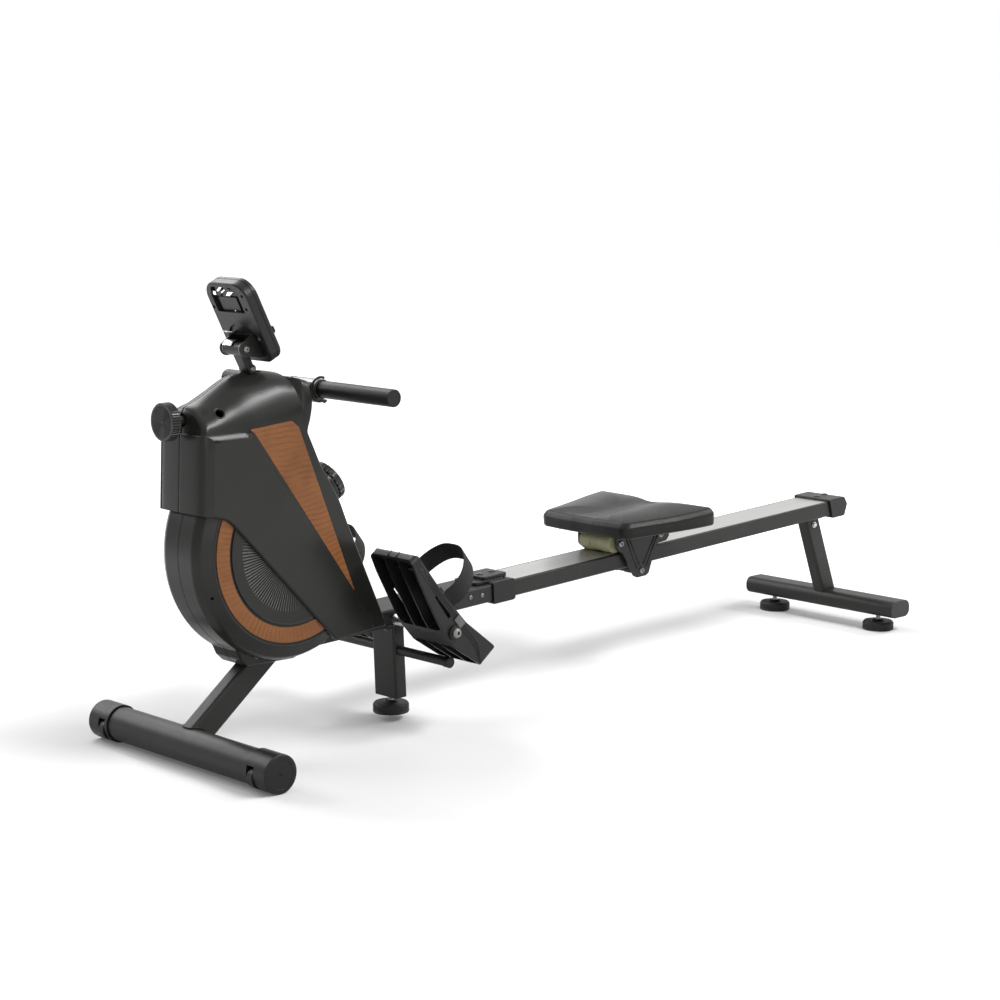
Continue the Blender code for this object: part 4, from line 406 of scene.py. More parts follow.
TUBE_WALL = 0.002
TUBE_HALF = CAP_START + 0.0035
tube = lathe("stabiliser_tube", [
    (STAB_TUBE_RADIUS - TUBE_WALL, -TUBE_HALF), (STAB_TUBE_RADIUS, -TUBE_HALF), (STAB_TUBE_RADIUS, TUBE_HALF),
    (STAB_TUBE_RADIUS - TUBE_WALL, TUBE_HALF),
], 96)
fitted(crisp(laid(tube, (0, 0, STAB_HEIGHT), "y")), "base", "frame_paint", painted_steel, "front_stabilizer_tube")
for side, word in ((1, "left"), (-1, "right")):
    profile = fillet([
        (0.0, 0.1750), (0.0272, 0.1750), (0.0272, 0.1948), (0.0298, 0.1948), (0.0298, CAP_START),
        (STAB_CAP_RADIUS, CAP_START), (STAB_CAP_RADIUS, STAB_HALF), (0.0245, STAB_HALF),
        (0.0240, STAB_HALF - 0.0007),
        (0.0040, STAB_HALF - 0.0007), (0.0036, STAB_HALF - 0.0001), (0.0024, STAB_HALF - 0.0001),
        (0.0018, STAB_HALF - 0.0012), (0.0, STAB_HALF - 0.0012),
    ], [0, 0, 0, 0, 0, 0.0012, 0.0030, 0, 0, 0, 0, 0, 0, 0], 5, False)
    cap = laid(lathe("cap", profile, 96), (0, 0, STAB_HEIGHT), "y")
    slot = block("slot", (-0.05, 0.1978, WHEEL_PLACE[1] - 0.020), (0.0035, 0.2154, WHEEL_PLACE[1] + 0.020))
    cap = crisp(carved(cap, [slot]), 30)
    half = 0.007
    profile = fillet([
        (0.0, -half - 0.004), (0.003, -half - 0.004), (0.003, -half - 0.0008), (0.0062, -half - 0.0008),
        (0.0062, -half), (0.0115, -half + 0.0012), (0.0150, -half), (WHEEL_RADIUS, -half + 0.0006),
        (WHEEL_RADIUS, half - 0.0006), (0.0150, half), (0.0115, half - 0.0012), (0.0062, half),
        (0.0062, half + 0.0008), (0.003, half + 0.0008), (0.003, half + 0.004), (0.0, half + 0.004),
    ], 0.0010, 3, False)
    wheel = laid(lathe("wheel", profile, 64), (WHEEL_PLACE[0], WHEEL_MIDDLE, WHEEL_PLACE[1]), "y")
    crisp(wheel, 40)
    if side < 0:
        cap, wheel = other_side(cap), other_side(wheel)
    cap.name = "stabiliser_cap_" + word
    wheel.name = "roll_wheel_" + word
    fitted(cap, "base", "black_plastic", black_plastic, "front_end_cap_" + word)
    fitted(wheel, "wheel_" + word, "black_plastic", black_plastic, "transport_wheel_" + word)


# Front leg. A rounded rectangular steel tube, saddle cut and welded to the stabiliser at its foot.
# Its top is welded to the underside of the beam, inside the round covers.
LEG_ANGLE = math.radians(38.8)
RAIL_SLOPE = math.radians(2.64)
RAIL_ORIGIN = 0.1901
RAIL_TO_MACHINE = Matrix.Translation((0, 0, RAIL_ORIGIN)) @ Matrix.Rotation(-RAIL_SLOPE, 4, "Y")
RAIL = MACHINE @ RAIL_TO_MACHINE
RAIL_HEIGHT = 0.0317
FIT = 0.0003


def arc(centre, radius, first, last, steps):
    """Points of an arc, angles in degrees."""
    points = []
    for step in range(steps + 1):
        angle = math.radians(first + (last - first) * step / steps)
        points.append((centre[0] + radius * math.cos(angle), centre[1] + radius * math.sin(angle)))
    return points


def rounded_box(half_width, half_height, corner, steps=6):
    points = []
    for sign_a, sign_b, first in ((1, 1, 0), (-1, 1, 90), (-1, -1, 180), (1, -1, 270)):
        middle = (sign_a * (half_width - corner), sign_b * (half_height - corner))
        points += arc(middle, corner, first, first + 90, steps)
    return points


UP = Vector((0.0, 0.0, 1.0))


def along(piece, start, end, roll=Vector((0.0, 1.0, 0.0))):
    """Turns a piece's Z axis to run from start to end, with its Y axis kept along roll."""
    start = Vector(start)
    forward = (Vector(end) - start).normalized()
    side = roll.cross(forward).normalized()
    across = forward.cross(side)
    piece.data.transform(Matrix.Translation(start) @ Matrix((side, across, forward)).transposed().to_4x4())
    return piece


def facing_out(piece, side, x, y, z):
    """Turns a piece's Z axis out to one side of the machine, at y from the middle."""
    return along(piece, (x, side * y, z), (x, side * (y + 1.0), z), UP)


leg_line = Vector((math.cos(LEG_ANGLE), 0.0, math.sin(LEG_ANGLE)))
leg_foot = Vector((0.0, 0.0, STAB_HEIGHT + 0.004))
leg = slab("front_leg_tube", rounded_box(0.02275, 0.016, 0.007), 0.0, 0.26, "z")
leg = along(leg, leg_foot, leg_foot + leg_line)
saddle = laid(rod("saddle", 0.0298, -0.06, 0.06, 96), (0, 0, STAB_HEIGHT), "y")
above = block("above", (-0.2, -0.1, -RAIL_HEIGHT - FIT), (0.6, 0.1, 0.3))
above.data.transform(RAIL_TO_MACHINE)
behind = block("behind", (-0.2, -0.1, -0.1), (0.006, 0.1, STAB_HEIGHT))
leg = crisp(carved(leg, [saddle, above, behind]), 30)
fitted(leg, "base", "frame_paint", painted_steel, "front_leg")
bead = []
for step in range(96):
    turn = 2 * math.pi * step / 96
    wide = math.copysign(abs(math.cos(turn)) ** 0.45, math.cos(turn)) * 0.0235
    across = math.copysign(abs(math.sin(turn)) ** 0.45, math.sin(turn)) * 0.0166
    sideways = Vector((-math.sin(LEG_ANGLE), 0.0, math.cos(LEG_ANGLE))) * wide
    reach = 0.004 * 0.627 + math.sqrt(max(0.0, 0.0300 ** 2 - (wide + 0.0031) ** 2))
    spot = leg_foot + sideways + leg_line * (reach - 0.0025)
    bead.append((spot.x, across, spot.z))


def bent_rod(name, line, radius, turns=10, ripple=0.0, closed=False):
    """A round bar that follows a line of points, with an even ripple where it is a weld bead."""
    points, faces = [], []
    count = len(line)
    across = None
    for index in range(count):
        here = Vector(line[index])
        before = Vector(line[index - 1] if index or closed else line[0])
        after = Vector(line[(index + 1) % count] if index < count - 1 or closed else line[-1])
        heading = (after - before).normalized()
        if across is None:
            across = heading.orthogonal().normalized()
        across = (across - heading * across.dot(heading)).normalized()
        up = heading.cross(across)
        reach = radius * (1 + ripple * math.sin(index * 2.1))
        for step in range(turns):
            angle = 2 * math.pi * step / turns
            points.append(here + across * reach * math.cos(angle) + up * reach * math.sin(angle))
    for index in range(count if closed else count - 1):
        below, over = index * turns, (index + 1) % count * turns
        for step in range(turns):
            after = (step + 1) % turns
            faces.append((below + step, below + after, over + after, over + step))
    if not closed:
        faces.append(tuple(range(turns)))
        faces.append(tuple(range((count - 1) * turns, count * turns)))
    return shape(name, points, faces)


fitted(bent_rod("front_leg_weld", bead, 0.0013, 8, 0.12, True), "base", "frame_paint", painted_steel)


# Main beam and middle leg. The beam is a flat rectangular tube from the flywheel frame to the rail.
# The short leg under it has a bolted top plate, a knurled levelling foot and the bar on which the pedals stop.
RAIL_HALF = 0.04375
BEAM_START, BEAM_END = 0.140, 0.674
MID_LEG_X = 0.4355
PEDAL_TOP = (0.332, 0.337)
PEDAL_ANGLE = math.radians(52.9)
AXLE_BORE = 0.0063
STOP_BAR_HEIGHT = 0.129


def pedal_point(down, out):
    """From distance down the pedal's face and height above it to x and z."""
    return (PEDAL_TOP[0] + math.cos(PEDAL_ANGLE) * down + math.sin(PEDAL_ANGLE) * out,
            PEDAL_TOP[1] - math.sin(PEDAL_ANGLE) * down + math.cos(PEDAL_ANGLE) * out)


def bolt(name, head, tall, washer=0.0, sides=6):
    """A bolt head with its washer, standing on z = 0 and facing up."""
    profile = [(0.0, -0.0005)]
    if washer:
        profile += [(washer, -0.0005), (washer, 0.0010), (washer - 0.0004, 0.0013)]
    profile += [(head * 0.86, 0.0013 if washer else -0.0005)]
    base = lathe(name, profile + [(0.0, 0.0013 if washer else 0.0)], 40)
    ring = [(head * math.cos(math.pi * 2 * step / sides), head * math.sin(math.pi * 2 * step / sides))
            for step in range(sides)]
    top = slab("head", ring, 0.0010 if washer else 0.0, tall, "z")
    dome = lathe("dome", fillet([(0.0, -0.002), (head * 1.01, -0.002), (head * 1.01, tall * 0.62),
                                 (head * 0.82, tall), (0.0, tall)], 0.0004, 3, False), 40)
    top = carved(top, [dome], "INTERSECT")
    base = carved(base, [top], "UNION")
    return crisp(base, 30)


def socket_bolt(name, head, tall):
    """A domed bolt head with a hexagon socket, standing on z = 0 and facing up."""
    profile = [(0.0, -0.001), (head, -0.001), (head, tall * 0.45), (head * 0.72, tall), (0.0, tall)]
    dome = lathe(name, fillet(profile, [0, 0, head * 0.2, head * 0.2, 0], 4, False), 48)
    ring = [(head * 0.42 * math.cos(math.pi / 3 * step), head * 0.42 * math.sin(math.pi / 3 * step))
            for step in range(6)]
    return crisp(carved(dome, [slab("socket", ring, tall * 0.30, tall * 2, "z")]), 30)


def collar(name, inner, outer, near, far, soft, turns=48):
    """A ring about Z with soft edges, between two distances in either order."""
    low, high = sorted((near, far))
    return lathe(name, fillet([(inner, low), (outer, low), (outer, high), (inner, high)], soft, 3), turns)


dull_steel = finish("dull plated steel", (120.0, 3.0), (0.17, 0.17, 0.165), (0.26, 0.26, 0.25),
                    (0.32, 0.16, 300.0, 2.0), Metallic=0.8)
brushed = (70.0, 3.0, (1.0, 6.0, 1.0))
bright_steel = finish("zinc plated steel", brushed, (0.42, 0.42, 0.41), (0.60, 0.60, 0.59), (0.22, 0.22, *brushed),
                      Metallic=1.0)
dark_steel = finish("blackened bolt steel", (160.0, 3.0), (0.06, 0.06, 0.06), (0.13, 0.13, 0.125),
                    (0.30, 0.15, 300.0, 2.0), Metallic=0.9)

pivot = pedal_point(0.1662, -0.0219)
outline = [(a, b - RAIL_HEIGHT / 2) for a, b in rounded_box(RAIL_HALF, RAIL_HEIGHT / 2, 0.004)]
beam = slab("main_beam_tube", outline, BEAM_START, BEAM_END, "x")
hollow = block("hollow", (0.10, -RAIL_HALF + 0.003, -RAIL_HEIGHT + 0.003), (0.70, RAIL_HALF - 0.003, -0.003))
bore = laid(rod("bore", AXLE_BORE, -0.1, 0.1, 40), (pivot[0], 0, pivot[1]), "y")
bore.data.transform(RAIL_TO_MACHINE.inverted())
beam = crisp(carved(beam, [hollow, bore]), 30)
fitted(beam, "base", "frame_paint", painted_steel, "main_beam", place=RAIL)

lean = Vector((math.sin(RAIL_SLOPE), 0.0, -math.cos(RAIL_SLOPE)))
under_beam = RAIL_ORIGIN + math.tan(RAIL_SLOPE) * MID_LEG_X - (RAIL_HEIGHT + FIT) / math.cos(RAIL_SLOPE)
mid_top = Vector((MID_LEG_X, 0.0, under_beam))
mid_length = (under_beam - 0.0425) / math.cos(RAIL_SLOPE)
mid_leg = slab("mid_leg_tube", rounded_box(0.013, 0.030, 0.0045), 0.0, mid_length, "z")
mid_leg = along(mid_leg, mid_top, mid_top + lean)
plate = along(slab("plate", rounded_box(0.032, 0.034, 0.004), 0.0, 0.005, "z"), mid_top, mid_top + lean)
bar_x = MID_LEG_X + (under_beam - STOP_BAR_HEIGHT) * math.tan(RAIL_SLOPE)
bar_at = (bar_x, 0, STOP_BAR_HEIGHT)
hole = laid(rod("hole", 0.0088, -0.1, 0.1, 40), bar_at, "y")
foot_at = mid_top + lean * mid_length
stud = laid(rod("stud", 0.0053, -0.05, 0.028, 32), (foot_at.x, 0, foot_at.z))
mid_leg = eased(carved(carved(mid_leg, [plate], "UNION"), [hole, stud]), 0.0007, 2)
fitted(mid_leg, "base", "frame_paint", painted_steel, "mid_leg")
stop_bar = rod("stop_bar", 0.0085, -0.162, 0.162, 48, 0.0012, 4)
fitted(crisp(laid(stop_bar, bar_at, "y")), "base", "frame_paint", painted_steel, "pedal_stop_bar")
for side in (1, -1):
    sleeve = collar("bar_cap", 0.0086, 0.0097, side * 0.1500, side * 0.1621, 0.0005)
    fitted(crisp(laid(sleeve, bar_at, "y")), "base", "black_plastic", black_plastic)
    spot = Vector((0.4135, side * 0.0240, under_beam - 0.0062))
    fitted(along(bolt("plate_bolt", 0.0052, 0.0042, 0.0072), spot, spot - UP), "base", "steel", dark_steel)

rubber = finish("black rubber", (40.0, 4.0), (0.008, 0.008, 0.008), (0.016, 0.016, 0.015), (0.48, 0.18, 200.0, 3.0),
                (1600.0, 3.0, 0.00015), Specular_IOR_Level=0.28)


def levelling_foot(name, body, place, seat, ribs):
    """A round foot with ribs for the fingers round its rim, and a steel stud that goes up into its seat."""
    foot = fillet([(0.0, 0.0), (0.0318, 0.0), (0.0328, 0.0032), (0.0316, 0.0045), (0.0322, 0.0060), (0.0322, 0.0145),
                   (0.0295, 0.0180), (0.0140, 0.0180), (0.0100, 0.0215), (0.0, 0.0215)], 0.0010, 3, False)
    turns = ribs * 6
    piece = lathe(name, foot, turns)
    for vertex in piece.data.vertices:
        reach = math.hypot(vertex.co.x, vertex.co.y)
        if reach > 0.0305 and 0.0055 < vertex.co.z < 0.0165:
            angle = math.atan2(vertex.co.y, vertex.co.x) * ribs
            grip = 1.0 - 0.018 * (0.5 + 0.5 * math.cos(angle)) ** 2
            vertex.co.x *= grip
            vertex.co.y *= grip
    screw = []
    height = 0.0214
    while height < seat:
        screw += [(0.0049, height), (0.0043, height + 0.0005)]
        height += 0.001
    thread = crisp(lathe(name + "_stud", [(0.0, 0.0212)] + screw + [(0.0, height)], 32), 50)
    fitted(laid(crisp(piece, 38), place), body, "rubber", rubber, body)
    fitted(laid(thread, place), body, "steel", bright_steel)


levelling_foot("mid_foot_pad", "mid_foot", (foot_at.x, 0.0, 0.0125), foot_at.z + 0.012, 40)


# Slide rail. A long rectangular tube with a steel running plate let into its top for the seat's rollers.
# A moulded sleeve with a bolted tongue joins it to the beam, and a moulded cap closes its rear end.
RAIL_END = 1.645
SLEEVE_START = 0.649
END_CAP_START = 1.620
outline = [(a, b - RAIL_HEIGHT / 2) for a, b in rounded_box(RAIL_HALF, RAIL_HEIGHT / 2, 0.004)]
rail = slab("slide_rail_tube", outline, BEAM_END + FIT, RAIL_END, "x")
hollow = block("hollow", (0.66, -RAIL_HALF + 0.003, -RAIL_HEIGHT + 0.003), (1.66, RAIL_HALF - 0.003, -0.005))
groove = block("groove", (0.66, -0.0403, -0.0032), (1.66, 0.0403, 0.01))
rail = crisp(carved(rail, [hollow, groove]), 30)
fitted(rail, "base", "frame_paint", painted_steel, "slide_rail", place=RAIL)

running_steel = Paint("brushed running plate", Metallic=1.0)
long_lines = running_steel.speckle(260.0, 3.0, (0.02, 1.0, 1.0))
tracks = running_steel.speckle(5.0, 3.0, (0.4, 14.0, 1.0))
running_steel.feed(
    Base_Color=running_steel.between(tracks, (0.47, 0.47, 0.46), (0.62, 0.62, 0.61)),
    Roughness=0.26 + 0.20 * long_lines)
running_steel.relief(long_lines, 0.00008)
plate = block("running_plate", (BEAM_END + 0.001, -0.040, -0.0029), (RAIL_END - 0.004, 0.040, -0.0004))
fitted(eased(plate, 0.0006, 3), "base", "silver_plate", running_steel, "rail_running_plate", place=RAIL)

sleeve_half = RAIL_HALF + FIT + 0.004
low, high = -RAIL_HEIGHT - FIT - 0.004, FIT + 0.004
outline = fillet([(SLEEVE_START, low), (SLEEVE_START + 0.055, low), (SLEEVE_START + 0.055, high),
                  (SLEEVE_START, high)], [0.002, 0.007, 0.007, 0.005])
sleeve = slab("sleeve", outline, -sleeve_half, sleeve_half)
bore = block("bore", (0.60, -RAIL_HALF - FIT, -RAIL_HEIGHT - FIT), (0.75, RAIL_HALF + FIT, FIT))
sleeve = settled_mesh(eased(carved(sleeve, [bore]), 0.0016, 3, 50))
lug = settled_mesh(eased(slab("lug", rounded_box(0.017, 0.010, 0.006), low - 0.002, low + 0.0037, "z"), 0.001))
lug.data.transform(Matrix.Translation((SLEEVE_START + 0.062, 0.0, 0.0)))
tongue = slab("tongue", fillet([
    (SLEEVE_START - 0.028, -0.030), (SLEEVE_START + 0.042, -0.034), (SLEEVE_START + 0.042, 0.034),
    (SLEEVE_START - 0.028, 0.030),
], 0.007), FIT, high + 0.002, "z")
tongue = settled_mesh(eased(tongue, 0.0014, 3, 50))
raised_top = high + 0.0080
raised = slab("raised", rounded_box(0.029, 0.028, 0.006), high, raised_top, "z")
raised.data.transform(Matrix.Translation((SLEEVE_START + 0.025, 0.0, 0.0)))
raised = settled_mesh(eased(raised, 0.0018, 3, 50))
sleeve = crisp(carved(sleeve, [lug, tongue, raised], "UNION"), 34)
fitted(sleeve, "base", "black_plastic", black_plastic, "rail_sleeve", place=RAIL)
for x, height in ((SLEEVE_START + 0.010, raised_top), (SLEEVE_START + 0.040, raised_top),
                  (END_CAP_START + 0.018, high), (END_CAP_START + 0.042, high)):
    screw = bolt("rail_screw", 0.0047, 0.0022, 0.0068, 24)
    screw.data.transform(Matrix.Translation((x, 0.0, height)))
    fitted(screw, "base", "steel", dark_steel, place=RAIL)

for spot in (0.5951, 0.6235):
    for side in (1, -1):
        at = RAIL_TO_MACHINE.inverted() @ Vector((spot, 0.0, 0.2041))
        screw = facing_out(socket_bolt("beam_bolt", 0.0040, 0.0022), side, at.x, RAIL_HALF, at.z)
        fitted(screw, "base", "steel", dull_steel, place=RAIL)
for spot in (0.7480, 0.9960):
    profile = [(0.0, -0.0050), (0.0075, -0.0050), (0.0085, -0.0030), (0.0085, 0.001), (0.0, 0.001)]
    stop = lathe("rail_stop", fillet(profile, 0.001, 3, False), 40)
    stop.data.transform(Matrix.Translation((spot, -0.018, -RAIL_HEIGHT)))
    fitted(crisp(stop, 40), "base", "black_plastic", black_plastic, place=RAIL)

last = END_CAP_START + 0.059
outline = fillet([(END_CAP_START + 0.010, low), (last - 0.010, low), (last, -0.012), (last - 0.010, high),
                  (END_CAP_START, high)], [0.002, 0.006, 0.006, 0.005, 0.003])
cap = slab("end_cap", outline, -sleeve_half, sleeve_half)
bore = block("bore", (1.55, -RAIL_HALF - FIT, -RAIL_HEIGHT - FIT), (RAIL_END + FIT, RAIL_HALF + FIT, FIT))
cap = eased(carved(cap, [bore]), 0.0018, 3, 50)
fitted(cap, "base", "black_plastic", black_plastic, "rear_end_cap", place=RAIL)


# Rear stand. A leg of rounded rectangular tube, bolted under the rail and saddle cut onto a flat-oval tube.
# The tube has a moulded plug in each end, and stands on two rubber levelling feet with steel studs.
REAR_X = 1.673
REAR_MIDDLE = 0.050
REAR_HALF = 0.197
tube_half = REAR_HALF - 0.004
oval = rounded_box(0.031, 0.0175, 0.015, 8)
tube = slab("rear_tube", [(REAR_X + a, REAR_MIDDLE + b) for a, b in oval], -tube_half, tube_half)
hollow = slab("hollow", [(REAR_X + a, REAR_MIDDLE + b) for a, b in rounded_box(0.029, 0.0155, 0.013)], -0.3, 0.3)
fitted(crisp(carved(tube, [hollow]), 30), "base", "frame_paint", painted_steel, "rear_stabilizer_tube")


def inset(outline, distance):
    """Moves an outline inwards by one distance, or each point by its own."""
    count = len(outline)
    area = sum(outline[i - 1][0] * outline[i][1] - outline[i][0] * outline[i - 1][1] for i in range(count))
    facing = 1.0 if area > 0 else -1.0
    result = []
    for index in range(count):
        here = Vector(outline[index])
        before = (here - Vector(outline[index - 1])).normalized()
        after = (Vector(outline[(index + 1) % count]) - here).normalized()
        first = Vector((-before.y, before.x)) * facing
        second = Vector((-after.y, after.x)) * facing
        middle = first + second
        reach = distance[index] if isinstance(distance, (list, tuple)) else distance
        result.append(tuple(here + middle * (reach / max(middle.dot(first), 0.35))))
    return result


def wrapped(name, points, count):
    """A closed piece over rings of points, with the same count of points in each ring."""
    rings = len(points) // count
    faces = []
    for ring in range(rings - 1):
        for index in range(count):
            after = (index + 1) % count
            faces.append((ring * count + index, ring * count + after, (ring + 1) * count + after,
                          (ring + 1) * count + index))
    faces += [tuple(range(count)), tuple(range((rings - 1) * count, rings * count))]
    return shape(name, points, faces)


def stacked(name, rings, axis="y"):
    """Joins outlines with equal counts, each at its own depth, into a closed piece."""
    return wrapped(name, [SPOTS[axis](a, b, depth) for depth, ring in rings for a, b in ring], len(rings[0][1]))


def pillow(name, outline, levels, axis="y"):
    """Stacks one outline at several depths, each inset by its own distance, for a rounded rim."""
    return stacked(name, [(depth, inset(outline, distance)) for distance, depth in levels], axis)


def rim(low, high, radius, steps=5):
    """Levels of a stack from low to high whose last edge is rounded by a radius."""
    levels = [(0.0, low)]
    sign = 1.0 if high > low else -1.0
    for step in range(steps + 1):
        angle = math.pi / 2 * step / steps
        levels.append((radius * (1 - math.cos(angle)), high - sign * radius * (1 - math.sin(angle))))
    return levels


end_plastic = finish(
    "grey moulded plugs", (30.0, 3.0), (0.016, 0.016, 0.015), (0.024, 0.024, 0.023), (0.34, 0.12, 120.0, 3.0),
    (2000.0, 2.0, 0.00008), Specular_IOR_Level=0.30)
for side, word in ((1, "left"), (-1, "right")):
    outline = [(REAR_X + a, REAR_MIDDLE + b) for a, b in oval]
    plug = pillow("rear_plug_" + word, outline, rim(side * (tube_half + FIT), side * REAR_HALF, 0.0016, 4))
    fitted(crisp(plug, 40), "base", "black_plastic", end_plastic, "rear_end_plug_" + word)
    levelling_foot("rear_foot_pad_" + word, "rear_foot_" + word, (REAR_X, side * 0.14, 0.0), 0.042, 36)

upper_x, upper_z, lower_x, lower_z, end_z = 1.6075, 0.220, 1.6655, 0.070, 0.0325
slant = (lower_x - upper_x) / (upper_z - lower_z)
top_z = RAIL_ORIGIN + math.tan(RAIL_SLOPE) * upper_x
leg_top = Vector((upper_x - slant * (top_z - upper_z), 0.0, top_z))
leg_end = Vector((lower_x + slant * (lower_z - end_z), 0.0, end_z))
leg = along(slab("rear_leg_tube", rounded_box(0.0205, 0.014, 0.006), 0.0, (leg_end - leg_top).length, "z"),
            leg_top, leg_end)
shoe = slab("shoe", [(REAR_X + a, REAR_MIDDLE + b) for a, b in rounded_box(0.0313, 0.0178, 0.0153)], -0.1, 0.1)
under = block("under", (1.3, -0.1, -0.1), (1.9, 0.1, REAR_MIDDLE))
above = block("above", (1.2, -0.1, -RAIL_HEIGHT - FIT), (1.9, 0.1, 0.3))
cap_room = block("cap_room", (END_CAP_START + 0.008, -0.1, -RAIL_HEIGHT - 0.0046), (1.9, 0.1, 0.0))
above.data.transform(RAIL_TO_MACHINE)
cap_room.data.transform(RAIL_TO_MACHINE)
plate = slab("plate", rounded_box(0.027, 0.026, 0.004), -RAIL_HEIGHT - FIT - 0.005, -RAIL_HEIGHT - FIT, "z")
plate.data.transform(RAIL_TO_MACHINE @ Matrix.Translation((1.5985, 0.0, 0.0)))
leg = carved(carved(leg, [shoe, under, above, cap_room]), [plate], "UNION")
fitted(eased(leg, 0.0007, 2, 40), "base", "frame_paint", painted_steel, "rear_leg")
for side in (1, -1):
    for spot in (0.78, 0.90):
        at = leg_end.lerp(leg_top, spot)
        screw = facing_out(bolt("rear_leg_bolt", 0.0048, 0.0042, 0.0066), side, at.x, 0.0142, at.z)
        fitted(screw, "base", "steel", bright_steel)


# Flywheel and drive. Two steel plates carry a cast iron flywheel, a belt and its pulleys, the strap's drum
# and the magnets. All of it stands on the beam, inside the covers.
def dressed(name, paint):
    """Gives a piece of the frame that is already right its finish."""
    piece = frame["nodes"][name]
    piece.data.materials.clear()
    piece.data.materials.append(paint.material)


cast_iron = finish("turned cast iron", (220.0, 5.0), (0.09, 0.09, 0.09), (0.17, 0.17, 0.165),
                   (0.40, 0.25, 220.0, 5.0), (220.0, 5.0, 0.0003), Metallic=0.85)
for paint, slot, names in (
        (painted_steel, "frame_paint", ["flywheel_frame"]), (cast_iron, "cast_iron", ["flywheel"]),
        (bright_steel, "steel", ["flywheel_axle", "magnet_bracket"]), (rubber, "rubber", ["drive_belt"]),
        (black_plastic, "black_plastic", ["belt_pulley", "strap_drum", "strap_guide_roller"])):
    for name in names:
        dressed(name, paint)


# Round flywheel cover. Two moulded halves meet in a seam round the rim and close round the front leg in a chin.
# A crescent of wood veneer is let into each face, round a disc with fine radial grooves.
COVER_CENTRE = (0.180, 0.349)
COVER_RADIUS = 0.193
COVER_HALF = 0.060
WALL = 0.003

cover_plastic = finish(
    "charcoal moulded covers", (6.0, 3.0), (0.0175, 0.0175, 0.0162), (0.0205, 0.0205, 0.0190),
    (0.235, 0.04, 12.0, 3.0), (2600.0, 2.0, 0.00003), Specular_IOR_Level=0.19)


def from_centre(paint):
    """The distances across and up from the middle of the round cover."""
    across, _, upward = paint.axes()
    return across - (COVER_CENTRE[0] + AXIS_X), upward - COVER_CENTRE[1]


grooved = Paint("charcoal cover with radial grooves", Specular_IOR_Level=0.19)
across, upward = from_centre(grooved)
reach = (across * across + upward * upward) ** 0.5
wave = grooved.maths("SINE", grooved.maths("ARCTAN2", upward, across) * 120.0)
fading = grooved.ramp(across / reach, 0.15, -0.40) * grooved.ramp(upward / reach, 0.35, -0.10)
inside = grooved.ramp(reach, 0.1090, 0.1060) * grooved.ramp(reach, 0.030, 0.070) * fading
ridge = grooved.ramp(wave, -0.35, 0.75)
# Between the ridges the grooved ring is painted near black, a painted shade, and the ridges are painted pale grey, a
# painted highlight.
groove_shade = grooved.between(inside, (0.0215, 0.0215, 0.0200), (0.0060, 0.0060, 0.0056))
grooved.feed(
    Base_Color=grooved.between(ridge * inside, groove_shade, (0.135, 0.135, 0.128)),
    Roughness=0.38 + 0.10 * grooved.speckle(40.0, 4.0) - 0.10 * inside)
grooved.relief(wave * inside, 0.0011)


def wood(name, line):
    """Veneer under satin lacquer; line gives the distance across the grain for that paint."""
    paint = Paint(name, Specular_IOR_Level=0.28)
    bend = paint.speckle(8.0, 2.0) - 0.5
    ripple = paint.speckle(60.0, 4.0, (0.4, 1.0, 1.0)) - 0.5
    across = line(paint) + bend * 0.045 + ripple * 0.0030
    late = paint.maths("FRACT", across / 0.0090)
    fine = paint.maths("FRACT", across / 0.0034)
    band = paint.ramp(late, 0.35, 0.93) - paint.ramp(late, 0.93, 1.0)
    thin = paint.ramp(fine, 0.40, 0.90) - paint.ramp(fine, 0.90, 1.0)
    thin = thin * paint.ramp(paint.speckle(30.0, 2.0), 0.45, 0.65)
    pore = paint.ramp(paint.speckle(420.0, 3.0, (0.35, 1.0, 1.0)), 0.55, 0.75)
    body = paint.between(paint.speckle(26.0, 3.0), (0.172, 0.064, 0.019), (0.250, 0.096, 0.030))
    strength = paint.ramp(paint.speckle(17.0, 2.0), 0.34, 0.66)
    grained = paint.between(band ** 2.0 * strength * 0.75, body, (0.096, 0.034, 0.011))
    grained = paint.between(thin * 0.60, grained, (0.112, 0.040, 0.013))
    paint.feed(
        Base_Color=paint.between(pore * 0.25, grained, (0.120, 0.042, 0.015)),
        Roughness=0.46 + 0.12 * pore + 0.08 * band)
    paint.relief(pore + band * 0.4, 0.00008)
    return paint


def around_cover(paint):
    across, upward = from_centre(paint)
    return paint.maths("ARCTAN2", upward, across * -1.0) * 0.147


def up_the_wedge(paint):
    across, _, upward = paint.axes()
    return upward - across * 0.10


def both_sides(piece, slot, paint, right=(), left=()):
    """Fits a piece of the covers and its twin on the other side."""
    fitted(mirrored(piece, piece.name + "_near"), "base", slot, paint, *right)
    fitted(piece, "base", slot, paint, *left)


crescent_wood = wood("crescent veneer", around_cover)
wedge_wood = wood("wedge veneer", up_the_wedge)

x, z = COVER_CENTRE
profile = fillet([
    (0.0, FIT / 2), (COVER_RADIUS - 0.0008, FIT / 2), (COVER_RADIUS, 0.0010), (COVER_RADIUS, 0.0365),
    (0.1865, 0.0500), (0.1670, COVER_HALF), (0.0, COVER_HALF),
], [0, 0, 0.0006, 0.014, 0.012, 0.003, 0], 6, False)
cover = laid(lathe("round_cover", profile, 144), (x, 0, z), "y")
chin = fillet([
    (0.0680, 0.2300), (0.0700, 0.1925), (0.0767, 0.1840), (0.0840, 0.1685), (0.0980, 0.1555), (0.1950, 0.1540),
    (0.2100, 0.1580), (0.2250, 0.1700),
], [0, 0.006, 0.006, 0.008, 0.006, 0.006, 0.006, 0], 3)
chin = pillow("chin", chin, [(0.0006, FIT / 2), (0.0, 0.0009)] + rim(0.002, 0.036, 0.004)[1:])
cover = carved(cover, [chin], "UNION")
